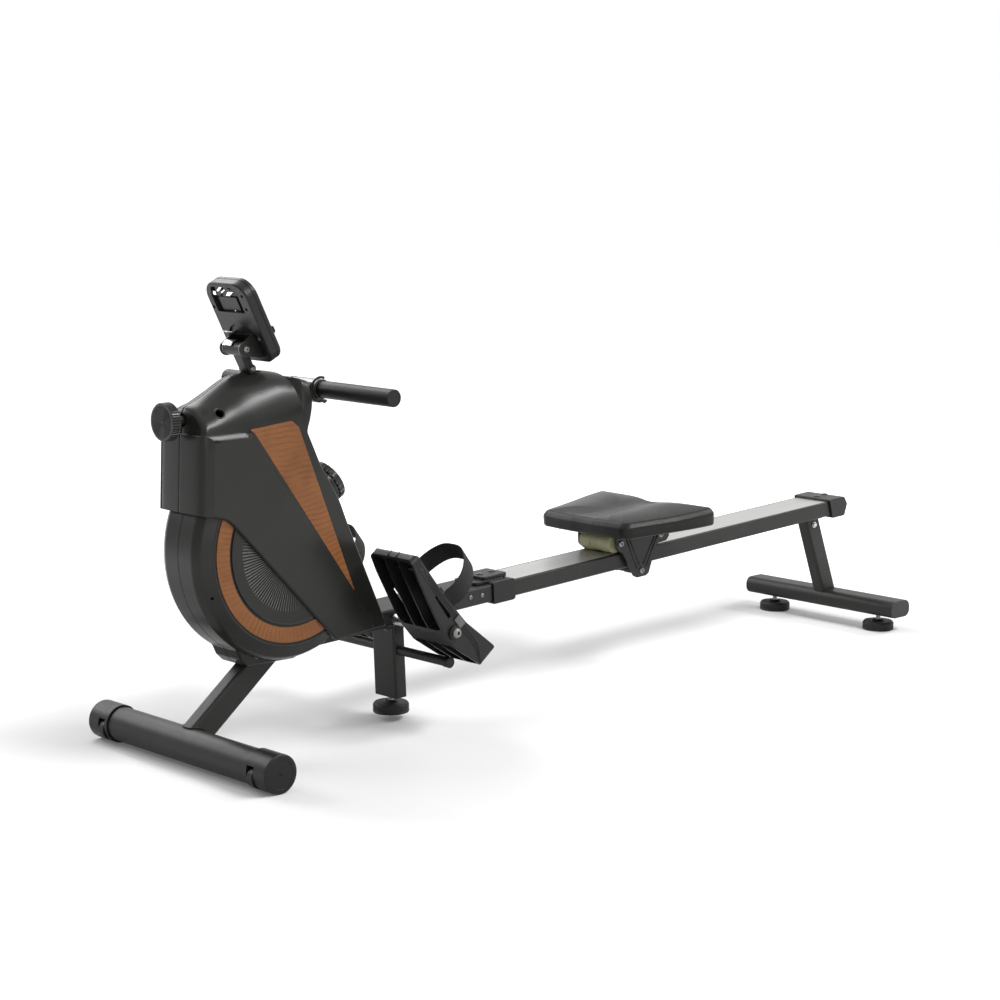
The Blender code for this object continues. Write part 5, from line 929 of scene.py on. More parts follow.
profile = [(0.0, -0.01), (COVER_RADIUS - WALL, -0.01), (COVER_RADIUS - WALL, 0.035), (0.183, 0.0455),
           (0.164, COVER_HALF - WALL), (0.0, COVER_HALF - WALL)]
inside = laid(lathe("inside", profile, 96), (x, 0, z), "y")
inner_chin = [(0.0710, 0.2300), (0.0728, 0.1940), (0.0795, 0.1850), (0.0864, 0.1704), (0.0992, 0.1585),
              (0.1943, 0.1570), (0.2080, 0.1606), (0.2220, 0.1720)]
cover = carved(cover, [carved(inside, [slab("inner_chin", inner_chin, -0.01, 0.033)], "UNION")])
CUT_UPPER, CUT_LOWER = Vector((0.0535, 0.4000)), Vector((0.2640, 0.1800))
cut = (CUT_LOWER - CUT_UPPER).normalized()
CUT_AWAY = Vector((-cut.y, cut.x))
upper, lower = CUT_UPPER + CUT_AWAY * 0.025, CUT_LOWER + CUT_AWAY * 0.025
hidden = [(-0.10, upper.y + 0.03), (upper.x - 0.03, upper.y + 0.03), tuple(upper), tuple(lower * 1.5 - upper * 0.5),
          (0.60, 0.60), (-0.10, 0.60)]
leg_way = slab("leg_way", rounded_box(0.02375, 0.017, 0.007), 0.0, 0.3, "z")
leg_way = along(leg_way, leg_foot, leg_foot + leg_line)
beam_way = block("beam_way", (BEAM_START - 0.002, -RAIL_HALF - 0.001, -RAIL_HEIGHT - 0.001),
                 (BEAM_END, RAIL_HALF + 0.001, 0.001))
beam_way.data.transform(RAIL_TO_MACHINE)


def crescent(outer, inner, first, last, steps):
    """The outline of a crescent round the cover's middle."""
    return arc(COVER_CENTRE, outer, first, last, steps) + arc(COVER_CENTRE, inner, last, first, steps)


recess = slab("recess", crescent(0.1640, 0.1293, 144.2, 300.8, 60), COVER_HALF - 0.0019, COVER_HALF + 0.01)
pin_angle, pin_reach = math.radians(201), 0.1777
pin_spot = (x + pin_reach * math.cos(pin_angle), 0.05, z + pin_reach * math.sin(pin_angle))
pin = laid(rod("pin", 0.0026, 0.0, 0.02, 24), pin_spot, "y")
cover = carved(cover, [slab("hidden", hidden, -0.02, 0.1), leg_way])
cover = crisp(carved(cover, [beam_way, recess, pin]), 28)
both_sides(cover, "cover_plastic", cover_plastic, ["round_cover_right"], ["round_cover_left"])

DISC_FACE = COVER_HALF + 0.0006
disc = fillet([(0.0, COVER_HALF - 0.001), (0.1288, COVER_HALF - 0.001), (0.1288, DISC_FACE), (0.0, DISC_FACE)],
              [0, 0, 0.0006, 0], 4, False)
disc = laid(lathe("grooved_disc", disc, 144), (x, 0, z), "y")
upper, lower = CUT_UPPER + CUT_AWAY * 0.020, CUT_LOWER + CUT_AWAY * 0.020
hidden = [tuple(lower * 2 - upper), (0.60, 0.60), (-0.10, 0.60), tuple(upper * 2 - lower)]
disc = crisp(carved(disc, [slab("hidden", hidden, 0.02, 0.1)]), 30)
both_sides(disc, "cover_plastic", grooved)
for side, word in ((1, "left"), (-1, "right")):
    levels = [(0.0, COVER_HALF - 0.0013), (0.0, COVER_HALF), (0.00012, COVER_HALF + 0.00022),
              (0.0004, COVER_HALF + 0.0003)]
    inlay = crescent(0.1598, 0.1336, 145.0, 300.0, 90)
    inlay = pillow("crescent_" + word, inlay, [(a, side * b) for a, b in levels])
    fitted(crisp(inlay, 30), "base", "wood", crescent_wood, "wood_crescent_" + word)
    # A thin black sheet under the gap round each inlay darkens the gap: painted shade.
    ring = crescent(0.16385, 0.12945, 144.3, 300.7, 90)
    gap_shade_sheet = slab("crescent_bed", ring, *sorted((side * (COVER_HALF - 0.0018), side * (COVER_HALF - 0.0010))))
    fitted(crisp(gap_shade_sheet), "base", "black_plastic", black_plastic)
    for reach, height in ((0.1649, COVER_HALF), (0.1284, DISC_FACE)):
        lip = [(lip_x, side * height, lip_z) for lip_x, lip_z in arc(COVER_CENTRE, reach, 145.0, 300.0, 120)]
        fitted(bent_rod("crescent_lip", lip, 0.0009, 8), "base", "cover_plastic", end_plastic)
    for spot_x, spot_z in ((0.1156, 0.171), (0.185, 0.166)):
        screw = facing_out(bolt("chin_screw", 0.0032, 0.0020, 0.0050, 24), side, spot_x, 0.0362, spot_z)
        fitted(screw, "base", "steel", dark_steel)


# Upper housing. Two moulded halves make the tall cover over the drive: flat sides with a soft raised panel,
# a bowed front, and a hood that rises to the mast. A wedge of wood veneer is let into each side.
SIDE_HALF = 0.0642
PANEL_HALF = 0.066
SHOULDER = 0.553
EDGE_RADIUS = 0.0045
CORNER_X, CORNER_HEIGHT = 0.0535, 0.4245
NECK = 0.5395
ROOF = [(-0.030, 0.5835), (-0.0030, 0.5930), (0.0255, 0.6015), (0.0590, 0.6190), (0.0925, 0.6365),
        (0.1270, 0.6420), (0.1585, 0.6430), (0.1820, 0.6395), (0.2020, 0.6345), (0.2240, 0.6280), (0.3000, 0.6040)]
BOTTOM = [(-0.020, 0.4255), (-0.0100, 0.4235), (0.0220, 0.4165), (0.0390, 0.4110), (CORNER_X, 0.4000),
          (0.0700, 0.3828)]
PLAN = [(0.0, 0.0), (0.27, 0.0003), (0.515, 0.0010), (0.712, 0.0022), (0.84, 0.0046), (0.93, 0.0098), (1.0, 0.0215)]
LOWER = fillet([(CORNER_X, 0.4000), (0.2640, 0.1800), (0.3810, 0.1870), (0.2955, 0.3760), (0.2780, 0.4180),
                (0.2360, 0.4870), (0.2115, NECK)], [0, 0.008, 0.006, 0.12, 0.12, 0.10, 0], 7, False)
REAR = [(0.40, 0.3000), (0.50, 0.2330), (NECK, 0.2115), (0.5630, 0.2170), (0.5830, 0.2208), (0.6100, 0.2214),
        (0.67, 0.2200)]


def smooth_line(points, place):
    """The height of a smooth line through some points."""
    for index in range(len(points) - 2):
        if place <= points[index + 1][0]:
            break
    index = max(0, min(index, len(points) - 2))

    def slope(spot):
        spot = max(1, min(spot, len(points) - 2))
        before, here, after = points[spot - 1], points[spot], points[spot + 1]
        left = (here[1] - before[1]) / (here[0] - before[0])
        right = (after[1] - here[1]) / (after[0] - here[0])
        return (left + right) / 2

    (x0, y0), (x1, y1) = points[index], points[index + 1]
    width = x1 - x0
    share = (place - x0) / width
    a, b = slope(index) * width, slope(index + 1) * width
    return (y0 * (2 * share ** 3 - 3 * share ** 2 + 1) + a * (share ** 3 - 2 * share ** 2 + share)
            + y1 * (3 * share ** 2 - 2 * share ** 3) + b * (share ** 3 - share ** 2))


def step_up(value, low, high):
    share = max(0.0, min(1.0, (value - low) / (high - low)))
    return share * share * (3 - 2 * share)


def ledge_fall(y):
    """How far the soft slope along the top of the side panel has come down at y."""
    return 0.0128 * (max(0.0, y - 0.0575) / 0.0085) ** 1.35


def front_x(bowed, height):
    """Where the bowed front stands at a height."""
    return -0.010 + bowed + (height - CORNER_HEIGHT) * 0.045


def bottom_spots(start):
    """Ten places along the bottom, from the front to the corner over the cut."""
    return [start + (CORNER_X - start) * step / 10 for step in range(10)]


def rounded_edge(y, half):
    """How far the edge round the side has drawn in at y."""
    return EDGE_RADIUS - math.sqrt(max(EDGE_RADIUS ** 2 - max(0.0, y - (half - EDGE_RADIUS)) ** 2, 0.0))


def crest_x(share):
    """Where the roof steps down behind its crest."""
    return 0.183 + 0.020 * share ** 1.5


def hood_height(x, share, thin):
    """Height of the hood over the shoulder at x, from the ridge (share 0) to the side (share 1)."""
    crest = crest_x(share)
    drop = 0.0048 * step_up(x, crest - 0.0010, crest + 0.0012) * (1 - share ** 3)
    rise = smooth_line(ROOF, x) - SHOULDER - drop
    fullness = 1.9 + 1.3 * step_up(x, 0.10, 0.23) + 8.0 * step_up(x, crest - 0.0010, crest + 0.0080)
    narrow = 1.0 - 0.080 * (1.0 - step_up(x, 0.060, 0.115))
    swell = max(0.0, 1.0 - (share / narrow) ** fullness) ** 0.62
    fall = ledge_fall(share * (SIDE_HALF - thin) + thin) * (1.0 - step_up(x, 0.085, 0.103))
    return SHOULDER - thin * max(0.4, swell) - fall + rise * swell


def housing_slice(y, half, thin=0.0, floor=None):
    """The housing's outline at one distance from the middle seam; floor draws the lower part of a cut in or out."""
    share = min(y / half, 1.0)
    edge = rounded_edge(y, half) + thin
    bowed = smooth_line(PLAN, share)

    def front(height):
        ledge = 0.0040 * step_up(height, 0.5512, 0.5530) * (1.0 - share ** 8)
        return front_x(bowed, height) + thin + ledge

    points, distances = [], []
    for step, spot in enumerate(bottom_spots(front(CORNER_HEIGHT))):
        opened = floor is not None and step == 0
        points.append((spot, smooth_line(BOTTOM, spot) + (floor if opened else 0.0)))
        distances.append(edge if floor is None else 0.0 if opened else floor)
    for spot in LOWER[:-1]:
        points.append(spot)
        distances.append(edge if floor is None or spot[1] > 0.19 and spot[0] > 0.20 else floor)
    top = 0.60
    for _ in range(12):
        top = hood_height(smooth_line(REAR, top) - edge, share, thin)
    for step in range(14):
        height = NECK + (top - NECK) * step / 14
        points.append((smooth_line(REAR, height), height))
        distances.append(edge)
    last = smooth_line(REAR, top) - edge
    ahead = 0.58
    for _ in range(12):
        ahead = hood_height(front(ahead), share, thin)
    first = front(ahead)
    near, far = 0.0145 * (1.0 - 0.80 * share ** 6), 0.003
    behind, before = crest_x(share) + 0.0022, crest_x(share) - 0.0020
    along_roof = [last - far + (behind - last + far) * step / 8 for step in range(8)]
    along_roof += [behind + (before - behind) * step / 9 for step in range(9)]
    along_roof += [before + (first + near - before) * step / 42 for step in range(43)]
    for spot in along_roof:
        points.append((spot, hood_height(spot, share, thin)))
        distances.append(0.0)
    start, middle, end = Vector(points[-1]), Vector((first, ahead)), Vector((front(ahead - near), ahead - near))
    for step in range(1, 10):
        mix = step / 10
        points.append(tuple(start * (1 - mix) ** 2 + middle * 2 * mix * (1 - mix) + end * mix ** 2))
        distances.append(0.0)
    height = ahead - near
    for level in (0.568, 0.562, 0.557, 0.5535, 0.5528, 0.5522, 0.5517, 0.5512, 0.5490, 0.540, 0.520, 0.495, 0.470,
                  0.445, CORNER_HEIGHT):
        height = min(level, height - 0.0003)
        points.append((front(height), height))
        distances.append(0.0)
    return inset(points[:-1], distances[:-1])


shares = [0.02, 0.08, 0.16, 0.24, 0.32, 0.40, 0.48, 0.55, 0.62, 0.68, 0.74, 0.79, 0.84, 0.88, 0.91, 0.935,
          0.952, 0.965, 0.975, 0.983, 0.989, 0.994, 0.997, 0.999, 1.0]
rings = [(FIT, inset(housing_slice(FIT, SIDE_HALF), 0.0007))]
rings += [(share * SIDE_HALF, housing_slice(share * SIDE_HALF, SIDE_HALF)) for share in shares]
shell = stacked("upper_housing", rings)
inner_half, below = SIDE_HALF - WALL, -0.02
rings = [(-0.01, housing_slice(0.0, inner_half, WALL, below))]
rings += [(share * inner_half, housing_slice(share * inner_half, inner_half, WALL, below))
          for share in (0.0, 0.2, 0.4, 0.6, 0.75, 0.86, 0.93, 0.97, 1.0)]
inside = stacked("inside", rings)
knob_seat = Vector((0.2726, 0.0, 0.4269))
knob_out = Vector((math.cos(math.radians(31.3)), 0.0, math.sin(math.radians(31.3))))

share = 1.0
well_x, well_height = 0.0425, 0.5846
while hood_height(well_x, share, 0.0) < well_height:
    share -= 0.001
well = Vector((well_x, share * SIDE_HALF, well_height))
slope_x = (hood_height(well_x + 0.002, share, 0.0) - hood_height(well_x - 0.002, share, 0.0)) / 0.004
slope_y = (hood_height(well_x, share + 0.02, 0.0) - hood_height(well_x, share - 0.02, 0.0)) / (0.04 * SIDE_HALF)
well_out = Vector((-slope_x, -slope_y, 1.0)).normalized()
FRONT_KNOB_HEIGHT = 0.573
shell = carved(shell, [inside])
shell = crisp(carved(shell, [
    along(rod("stem_way", 0.007, -0.03, 0.03, 72), knob_seat, knob_seat + knob_out),
    laid(rod("front_hole", 0.0112, -0.03, 0.03), (0, 0, FRONT_KNOB_HEIGHT), "x"),
    block("strap_slot", (0.20, -0.02, 0.6014), (0.24, 0.0145, 0.6114)),
    block("mast_hole", (0.1255, -0.02, 0.60), (0.1535, 0.0140, 0.68)),
    along(rod("screw_hole", 0.0080, -0.012, 0.012), well, well + well_out),
]), 42)
both_sides(shell, "cover_plastic", cover_plastic, ["upper_cover_right"], ["upper_cover_left"])

panel_rings = []
for y in (0.0545, 0.0570, 0.0590, 0.0608, 0.0622, 0.0634, 0.0643, 0.0650, 0.0655, 0.0658, 0.06595, 0.0660):
    edge = rounded_edge(y, PANEL_HALF)
    tight = 0.0012 * (1 - math.sqrt(max(0.0, 1 - (max(0.0, y - 0.0648) / 0.0012) ** 2)))
    soft = ledge_fall(y) + tight
    bowed = smooth_line(PLAN, y / PANEL_HALF) - 0.0012
    points, distances = [], []
    for spot in bottom_spots(front_x(bowed, CORNER_HEIGHT)):
        points.append((spot, smooth_line(BOTTOM, spot)))
        distances.append(edge)
    for spot in fillet([(CORNER_X, 0.4000), (0.2640, 0.1800), (0.3565, 0.1856), (0.0910, 0.5545), (0.030, 0.5545)],
                       [0, 0.008, 0.010, 0.018, 0], 12, False):
        points.append(spot)
        distances.append(edge + (tight - edge) * step_up(spot[0] + spot[1], 0.5430, 0.5440))
        if spot[1] > 0.53:
            distances[-1] = tight + (soft - tight) * step_up(-spot[0], -0.1030, -0.0860)
    top = 0.5545
    for step in range(1, 9):
        points.append((0.030 + (front_x(bowed, top) - 0.030) * step / 8, top))
        distances.append(soft)
    for step in range(11):
        height = top - 0.0165 + (CORNER_HEIGHT - top + 0.0165) * step / 11
        points.append((front_x(bowed, height), height))
        distances.append(0.0008 if y < 0.055 else 0.0)
    panel_rings.append((y, inset(points, distances)))
panel = crisp(stacked("side_panel", panel_rings), 50)
both_sides(panel, "cover_plastic", cover_plastic)

wedge = fillet([(0.3090, 0.2546), (0.1905, 0.5505), (0.1760, 0.5630), (0.0890, 0.5556), (0.0990, 0.5480)],
               [0.001, 0.004, 0.010, 0.001, 0.001], 6)
for side, word in ((1, "left"), (-1, "right")):
    levels = [(0.0, side * 0.0630), (0.0, side * 0.0644), (0.00015, side * 0.06465), (0.0006, side * 0.0648)]
    inlay = crisp(pillow("wedge_" + word, wedge, levels), 30)
    fitted(inlay, "base", "wood", wedge_wood, "wood_wedge_" + word)
    lip = lathe("screw_well", fillet([(0.0074, -0.006), (0.0074, 0.0004), (0.0084, 0.0014), (0.0098, 0.0004),
                                      (0.0098, -0.006)], 0.0004, 3), 48)
    facing = Vector((1.0, side, 1.0))
    lip = along(lip, well * facing, (well + well_out) * facing, Vector((1.0, 0.0, 0.0)))
    fitted(crisp(lip, 40), "base", "cover_plastic", end_plastic)

profile = fillet([
    (0.0, 0.0215), (0.0305, 0.0215), (0.0305, 0.0235), (0.0372, 0.0235), (0.0372, 0.006), (0.046, -0.012),
    (0.046, -0.018), (0.0, -0.018),
], [0, 0, 0.0004, 0.0016, 0.008, 0.004, 0, 0], 5, False)
boss = along(lathe("tension_boss", profile, 96), knob_seat, knob_seat + knob_out)
keep = slab("keep", [(0.20, 0.30), (0.40, 0.30), (0.40, 0.60), (0.20, 0.60)], -0.0640, 0.0640)
fitted(crisp(carved(boss, [keep], "INTERSECT"), 34), "base", "cover_plastic", cover_plastic)


# Hand knobs. The front knob is a moulded disc with rings on its face and fine ribs round its rim.
# The tension knob faces the rower, and has deep finger ribs and a pointer line.
def ribbed_knob(name, radius, thick, ribs, depth, rings, inner):
    """A disc whose rim has even ribs and whose face has rings."""
    face = [(0.0, thick)]
    if rings:
        step = (inner - 0.003) / rings
        spot = 0.0025
        while spot < inner - 0.0005:
            face += [(spot, thick), (spot + step * 0.25, thick - 0.0014), (spot + step * 0.50, thick - 0.0014),
                     (spot + step * 0.8, thick)]
            spot += step
    else:
        face += [(inner, thick), (inner + 0.0006, thick - 0.0008), (inner + 0.0018, thick - 0.0008),
                 (inner + 0.0024, thick)]
    rimmed = fillet([(radius - 0.0012, thick), (radius, thick - 0.0016), (radius, 0.0012), (radius - 0.0012, 0.0)],
                    0.0008, 3, False)
    turns = ribs * 8
    piece = lathe(name, face + rimmed + [(0.0, 0.0)], turns)
    for vertex in piece.data.vertices:
        reach = math.hypot(vertex.co.x, vertex.co.y)
        if reach > radius - 0.0016:
            angle = math.atan2(vertex.co.y, vertex.co.x) * ribs
            trough = max(0.0, math.cos(angle)) ** 0.6
            grip = 1.0 - depth * trough / radius * step_up(vertex.co.z, -0.001, 0.002) * step_up(
                thick - vertex.co.z, -0.001, 0.002)
            vertex.co.x *= grip
            vertex.co.y *= grip
    return crisp(piece, 40)


knob_plastic = finish(
    "ribbed knob plastic", (30.0, 3.0), (0.012, 0.012, 0.0112), (0.019, 0.019, 0.018), (0.24, 0.12, 150.0, 3.0),
    (2200.0, 2.0, 0.00008), Specular_IOR_Level=0.34)
knob_back = Vector((-0.022, 0.0, FRONT_KNOB_HEIGHT))
forward = knob_back - Vector((1.0, 0.0, 0.0))
knob = ribbed_knob("front_knob_head", 0.0315, 0.017, 44, 0.0015, 7, 0.0275)
fitted(along(knob, knob_back, forward), "front_knob", "black_plastic", knob_plastic, "front_knob")
profile = fillet([(0.0, -0.038), (0.0075, -0.038), (0.0075, -0.009), (0.0105, -0.008), (0.0105, 0.0006),
                  (0.0, 0.0006)], 0.0008, 3, False)
stem = along(lathe("front_knob_stem", profile, 48), knob_back, forward)
fitted(crisp(stem, 40), "front_knob", "black_plastic", end_plastic)

seat = knob_seat + knob_out * 0.0247
knob = ribbed_knob("tension_knob_head", 0.038, 0.013, 26, 0.0022, 0, 0.0290)
mark = slab("mark", rounded_box(0.0016, 0.0050, 0.0012), 0.0129, 0.0133, "z")
mark.data.transform(Matrix.Translation((0.0, 0.022, 0.0)))
hub = rod("tension_hub", 0.0058, -0.012, 0.0005, 40, 0.0005)
for piece in (knob, mark, hub):
    along(piece, seat, seat + knob_out)
fitted(knob, "tension_knob", "black_plastic", knob_plastic, "tension_knob")
fitted(crisp(hub, 40), "tension_knob", "black_plastic", knob_plastic)
fitted(mark, "tension_knob", "steel", bright_steel)


# Handle. A steel bar with satin foam grips lies in a moulded hook on the housing.
# Flat webbing runs from the drum over a guide roller to the bar; it is drawn as it lies at rest and does not move
# with the bar.
HANDLE = (0.2615, 0.6064)
CORE = 0.0165
x, z = HANDLE
profile = fillet([
    (0.0, -0.2205), (0.0115, -0.2205), (0.0115, -0.036), (CORE, -0.036), (CORE, 0.036), (0.0115, 0.036),
    (0.0115, 0.2205), (0.0, 0.2205),
], 0.0012, 4, False)
fitted(crisp(laid(lathe("pull_bar", profile, 72), (x, 0, z), "y")), "handle", "steel", dull_steel, "handle_bar")

foam = finish("satin foam grip", (30.0, 4.0), (0.010, 0.010, 0.0095), (0.016, 0.016, 0.0152),
              (0.36, 0.10, 220.0, 3.0), (1100.0, 3.0, 0.00018), Specular_IOR_Level=0.18)
for side, word in ((1, "left"), (-1, "right")):
    profile = fillet([
        (0.0118, 0.0400), (0.0147, 0.0400), (0.0147, 0.2235), (0.0112, 0.2235), (0.0108, 0.2229), (0.0, 0.2229),
        (0.0, 0.2208), (0.0118, 0.2208),
    ], [0, 0.0010, 0.0022, 0, 0, 0, 0, 0], 5, True)
    grip = laid(lathe("grip_" + word, profile, 72), (x, 0, z), "y")
    if side < 0:
        grip = other_side(grip)
    grip.name = "foam_grip_" + word
    fitted(crisp(grip, 35), "handle", "foam", foam, "handle_grip_" + word)
    ring = collar("collar", 0.0117, 0.0169, side * 0.0362, side * 0.0396, 0.0008, 72)
    fitted(crisp(laid(ring, (x, 0, z), "y")), "handle", "black_plastic", end_plastic)

bore = CORE + 0.0011
under = z - bore
outline = arc((x, z), bore, 146, 274, 48) + [
    (x + 0.0130, under - 0.0010), (x + 0.0153, under - 0.0030), (x + 0.0150, under - 0.0046),
    (x + 0.0120, under - 0.0050)]
outline += arc((x, z), bore + 0.0055, 272, 146, 44)
hook = slab("hook", outline, -0.033, 0.033)
root_end = x - bore - 0.001
root = fillet([(0.2160, z - 0.022), (root_end, z - 0.022), (root_end, z + 0.0060), (0.2160, z + 0.0060)], 0.002, 3)
root = slab("root", root, -0.026, 0.026)
slot = block("slot", (0.20, -0.014, z - 0.0045), (x - 0.01, 0.014, z + 0.0045))
hook = eased(carved(carved(hook, [root], "UNION"), [slot]), 0.0009, 3, 40)
fitted(hook, "base", "black_plastic", end_plastic, "handle_hook")
for side, top in ((1, 150), (-1, 66)):
    outline = arc((x, z), bore, top, 280, 48) + [
        (x + 0.0100, under - 0.0026), (x + 0.0118, under - 0.0050), (x + 0.0080, under - 0.0072)]
    outline += arc((x, z), bore + 0.0044, 276, top, 44)
    flange = slab("hook_flange", outline, *sorted((side * 0.0328, side * 0.0358)))
    fitted(eased(flange, 0.0007, 3, 40), "base", "black_plastic", black_plastic)

webbing = Paint("black webbing", Specular_IOR_Level=0.25)
length, breadth, rise = webbing.axes()
weave = webbing.maths("SINE", breadth * 4200.0) * webbing.maths("SINE", (rise + length) * 3600.0)
webbing.feed(
    Base_Color=webbing.between(weave * 0.5 + 0.5, (0.008, 0.008, 0.008), (0.020, 0.020, 0.019)),
    Roughness=0.62 + 0.15 * webbing.speckle(300.0, 3.0))
webbing.relief(weave, 0.00025)


def band(name, line, thick, low, high, axis="y"):
    """Webbing of an even thickness with soft edges, along a line of points."""
    count = len(line)
    left, right = [], []
    for index in range(count):
        heading = (Vector(line[min(index + 1, count - 1)]) - Vector(line[max(index - 1, 0)])).normalized()
        across = Vector((-heading.y, heading.x)) * thick / 2
        left.append(Vector(line[index]) + across)
        right.append(Vector(line[index]) - across)
    soft = thick * 0.35
    points = []
    for first, last in zip(left, right):
        inner_first, inner_last = first.lerp(last, 0.30), first.lerp(last, 0.70)
        for place, depth in ((first, low + soft), (first, high - soft), (inner_first, high), (inner_last, high),
                             (last, high - soft), (last, low + soft), (inner_last, low), (inner_first, low)):
            points.append(SPOTS[axis](place.x, place.y, depth))
    return wrapped(name, points, 8)


drum, guide = 0.0256, 0.0091
drum_at, guide_at = (0.105, 0.528), (0.196, 0.5965)
apart = math.hypot(guide_at[0] - drum_at[0], guide_at[1] - drum_at[1])
heading = math.degrees(math.atan2(guide_at[1] - drum_at[1], guide_at[0] - drum_at[0]))
spread = math.degrees(math.acos((drum - guide) / apart))
line, turns = [], 2.5
for step in range(121):
    share = step / 120
    turn = math.radians(heading + spread + 360 * turns * (1 - share))
    reach = drum + 0.0019 * turns * share
    line.append((drum_at[0] + reach * math.cos(turn), drum_at[1] + reach * math.sin(turn)))
line += arc(guide_at, guide, heading + spread, 90, 8)
line += [(guide_at[0] + (x - CORE - FIT - guide_at[0]) * step / 60, guide_at[1] + guide) for step in range(1, 61)]
strap = crisp(band("pull_webbing", line, 0.0016, -0.012, 0.012), 60)
strap.data.transform(MACHINE)
strap.data.materials.append(webbing.material)
x - CORE - 0.002 + AXIS_X
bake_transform(strap)
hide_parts("pull_strap")


# Console. Two moulded shells hold a small display, one button and a phone ledge; the back has a battery pocket.
# Two steel ears clamp it to the cross tube of a rectangular mast, so that it tilts.
TOP = Vector((0.0990, 0.0, 0.7928))
BOTTOM_END = Vector((0.1630, 0.0, 0.6644))
LENGTH = (TOP - BOTTOM_END).length
FACE = MACHINE @ Matrix.Translation(BOTTOM_END) @ Matrix.Rotation(
    -math.atan2(BOTTOM_END.x - TOP.x, TOP.z - BOTTOM_END.z), 4, "Y")
TILT_AXIS = Vector((0.1125, 0.0, 0.6825))
HALF = 0.0545
FACE_TOP = 0.1475
HEAD, TAIL = 0.029, 0.022
outline = arc((HALF - HEAD, FACE_TOP - HEAD), HEAD, 0, 90, 14)
outline += arc((-HALF + HEAD, FACE_TOP - HEAD), HEAD, 90, 180, 14)
outline += arc((-HALF + TAIL, TAIL), TAIL, 180, 270, 10) + arc((HALF - TAIL, TAIL), TAIL, 270, 360, 10)
levels = [(0.0005, -0.0002), (0.0, -0.0008)] + rim(-0.002, -0.015, 0.0032, 6)[1:]
back = pillow("console_back_shell", outline, levels, "x")
pocket_ring = fillet([(-0.0320, 0.0930), (0.0400, 0.0930), (0.0400, 0.1240), (0.0330, 0.1400), (-0.0180, 0.1400),
                      (-0.0320, 0.1270)], [0.003, 0.003, 0.004, 0.005, 0.006, 0.004], 4)
pocket = pillow("pocket", pocket_ring, [(-0.0010, -0.0160), (0.0, -0.0148), (0.0010, -0.008)], "x")
arch_ring = [(0.0445, -0.012)] + arc((-0.0015, 0.027), 0.046, 0, 180, 30) + [(-0.0475, -0.012)]
seat_cut = slab("seat_cut", arch_ring, -0.02, -0.0112, "x")
holes = []
for y, height in ((-0.0425, 0.1255), (-0.0400, 0.1010), (0.0470, 0.1010), (-0.0435, 0.0180), (0.0435, 0.0180)):
    holes.append(laid(rod("hole", 0.0030, -0.01, 0.0, 24), (-0.0098, y, height), "x"))
back = carved(back, [pocket, seat_cut])
back = crisp(carved(back, holes), 38)
fitted(back, "console", "black_plastic", black_plastic, "console_back", place=FACE)
edge_line = [(-0.0148, y, height) for y, height in arc((-0.0015, 0.027), 0.0463, 8, 172, 60)]
fitted(bent_rod("recess_edge", edge_line, 0.0006, 8), "console", "black_plastic", end_plastic, place=FACE)
door_ring = fillet([(-0.0180, 0.0945), (0.0300, 0.0945), (0.0300, 0.1195), (-0.0180, 0.1195)], 0.002, 3)
door = pillow("pocket_door", door_ring, rim(-0.0082, -0.0108, 0.0008, 3), "x")
fitted(crisp(door), "console", "black_plastic", black_plastic, "battery_door", place=FACE)
# Near-white metal tabs on the pocket's inner walls stand in for the reflections of light seen there: painted
# reflections. Each sits on a small black block.
pocket_reflection_metal = finish("nickel contact plates", (200.0, 2.0), (0.86, 0.86, 0.85), (0.95, 0.95, 0.94),
                (0.12, 0.10, 400.0, 2.0), Metallic=1.0)
for quad in (((0.0385, 0.1305), (0.0285, 0.1305), (0.0300, 0.1230), (0.0395, 0.1235)),
             ((0.0125, 0.1395), (0.0050, 0.1395), (0.0190, 0.1305), (0.0255, 0.1305)),
             ((-0.0047, 0.1305), (-0.0200, 0.1312), (-0.0056, 0.1228), (0.0042, 0.1233)),
             ((0.0024, 0.1350), (0.0006, 0.1335), (0.0120, 0.1275), (0.0150, 0.1285)),
             ((-0.0040, 0.0965), (-0.0062, 0.0965), (-0.0062, 0.0950), (-0.0040, 0.0950))):
    tab = eased(slab("contact", quad, -0.0128, -0.0120, "x"), 0.0002, 2)
    fitted(tab, "console", "steel", pocket_reflection_metal, place=FACE)
for quad in (((0.0275, 0.1400), (0.0050, 0.1400), (0.0190, 0.1215), (0.0290, 0.1215)),
             ((0.0020, 0.1400), (-0.0180, 0.1330), (-0.0190, 0.1300), (0.0060, 0.1200), (0.0150, 0.1215))):
    seat_block = eased(slab("contact_seat", quad, -0.0119, -0.0080, "x"), 0.0006, 2)
    fitted(seat_block, "console", "black_plastic", black_plastic, place=FACE)

levels = [(0.0005, 0.0002), (0.0, 0.0008)] + rim(0.002, 0.009, 0.0035, 5)[1:]
front = pillow("console_front_shell", outline, levels, "x")
lens_low, lens_high = LENGTH * 0.48, LENGTH * 0.86
lens_ring = fillet([(-0.036, lens_low), (0.036, lens_low), (0.036, lens_high), (-0.036, lens_high)], 0.004, 4)
window = pillow("window", lens_ring, [(0.0, 0.0065), (0.0, 0.0088), (-0.0010, 0.0098)], "x")
button_height = LENGTH * 0.22
button_ring = rounded_box(0.012, 0.006, 0.0055)
button_hole = slab("button_hole", [(a * 1.03, button_height + b * 1.05) for a, b in button_ring], 0.004, 0.02, "x")
front = carved(front, [window, button_hole])
shelf = 0.27 * LENGTH
ledge = [(0.008, shelf), (0.021, shelf), (0.021, shelf + 0.012), (0.0185, shelf + 0.012), (0.0185, shelf + 0.003),
         (0.008, shelf + 0.003)]
ledge = slab("ledge", fillet(ledge, [0, 0.003, 0.001, 0.001, 0.001, 0], 3), -0.040, 0.040)
front = eased(carved(front, [ledge], "UNION"), 0.0004, 2, 50)
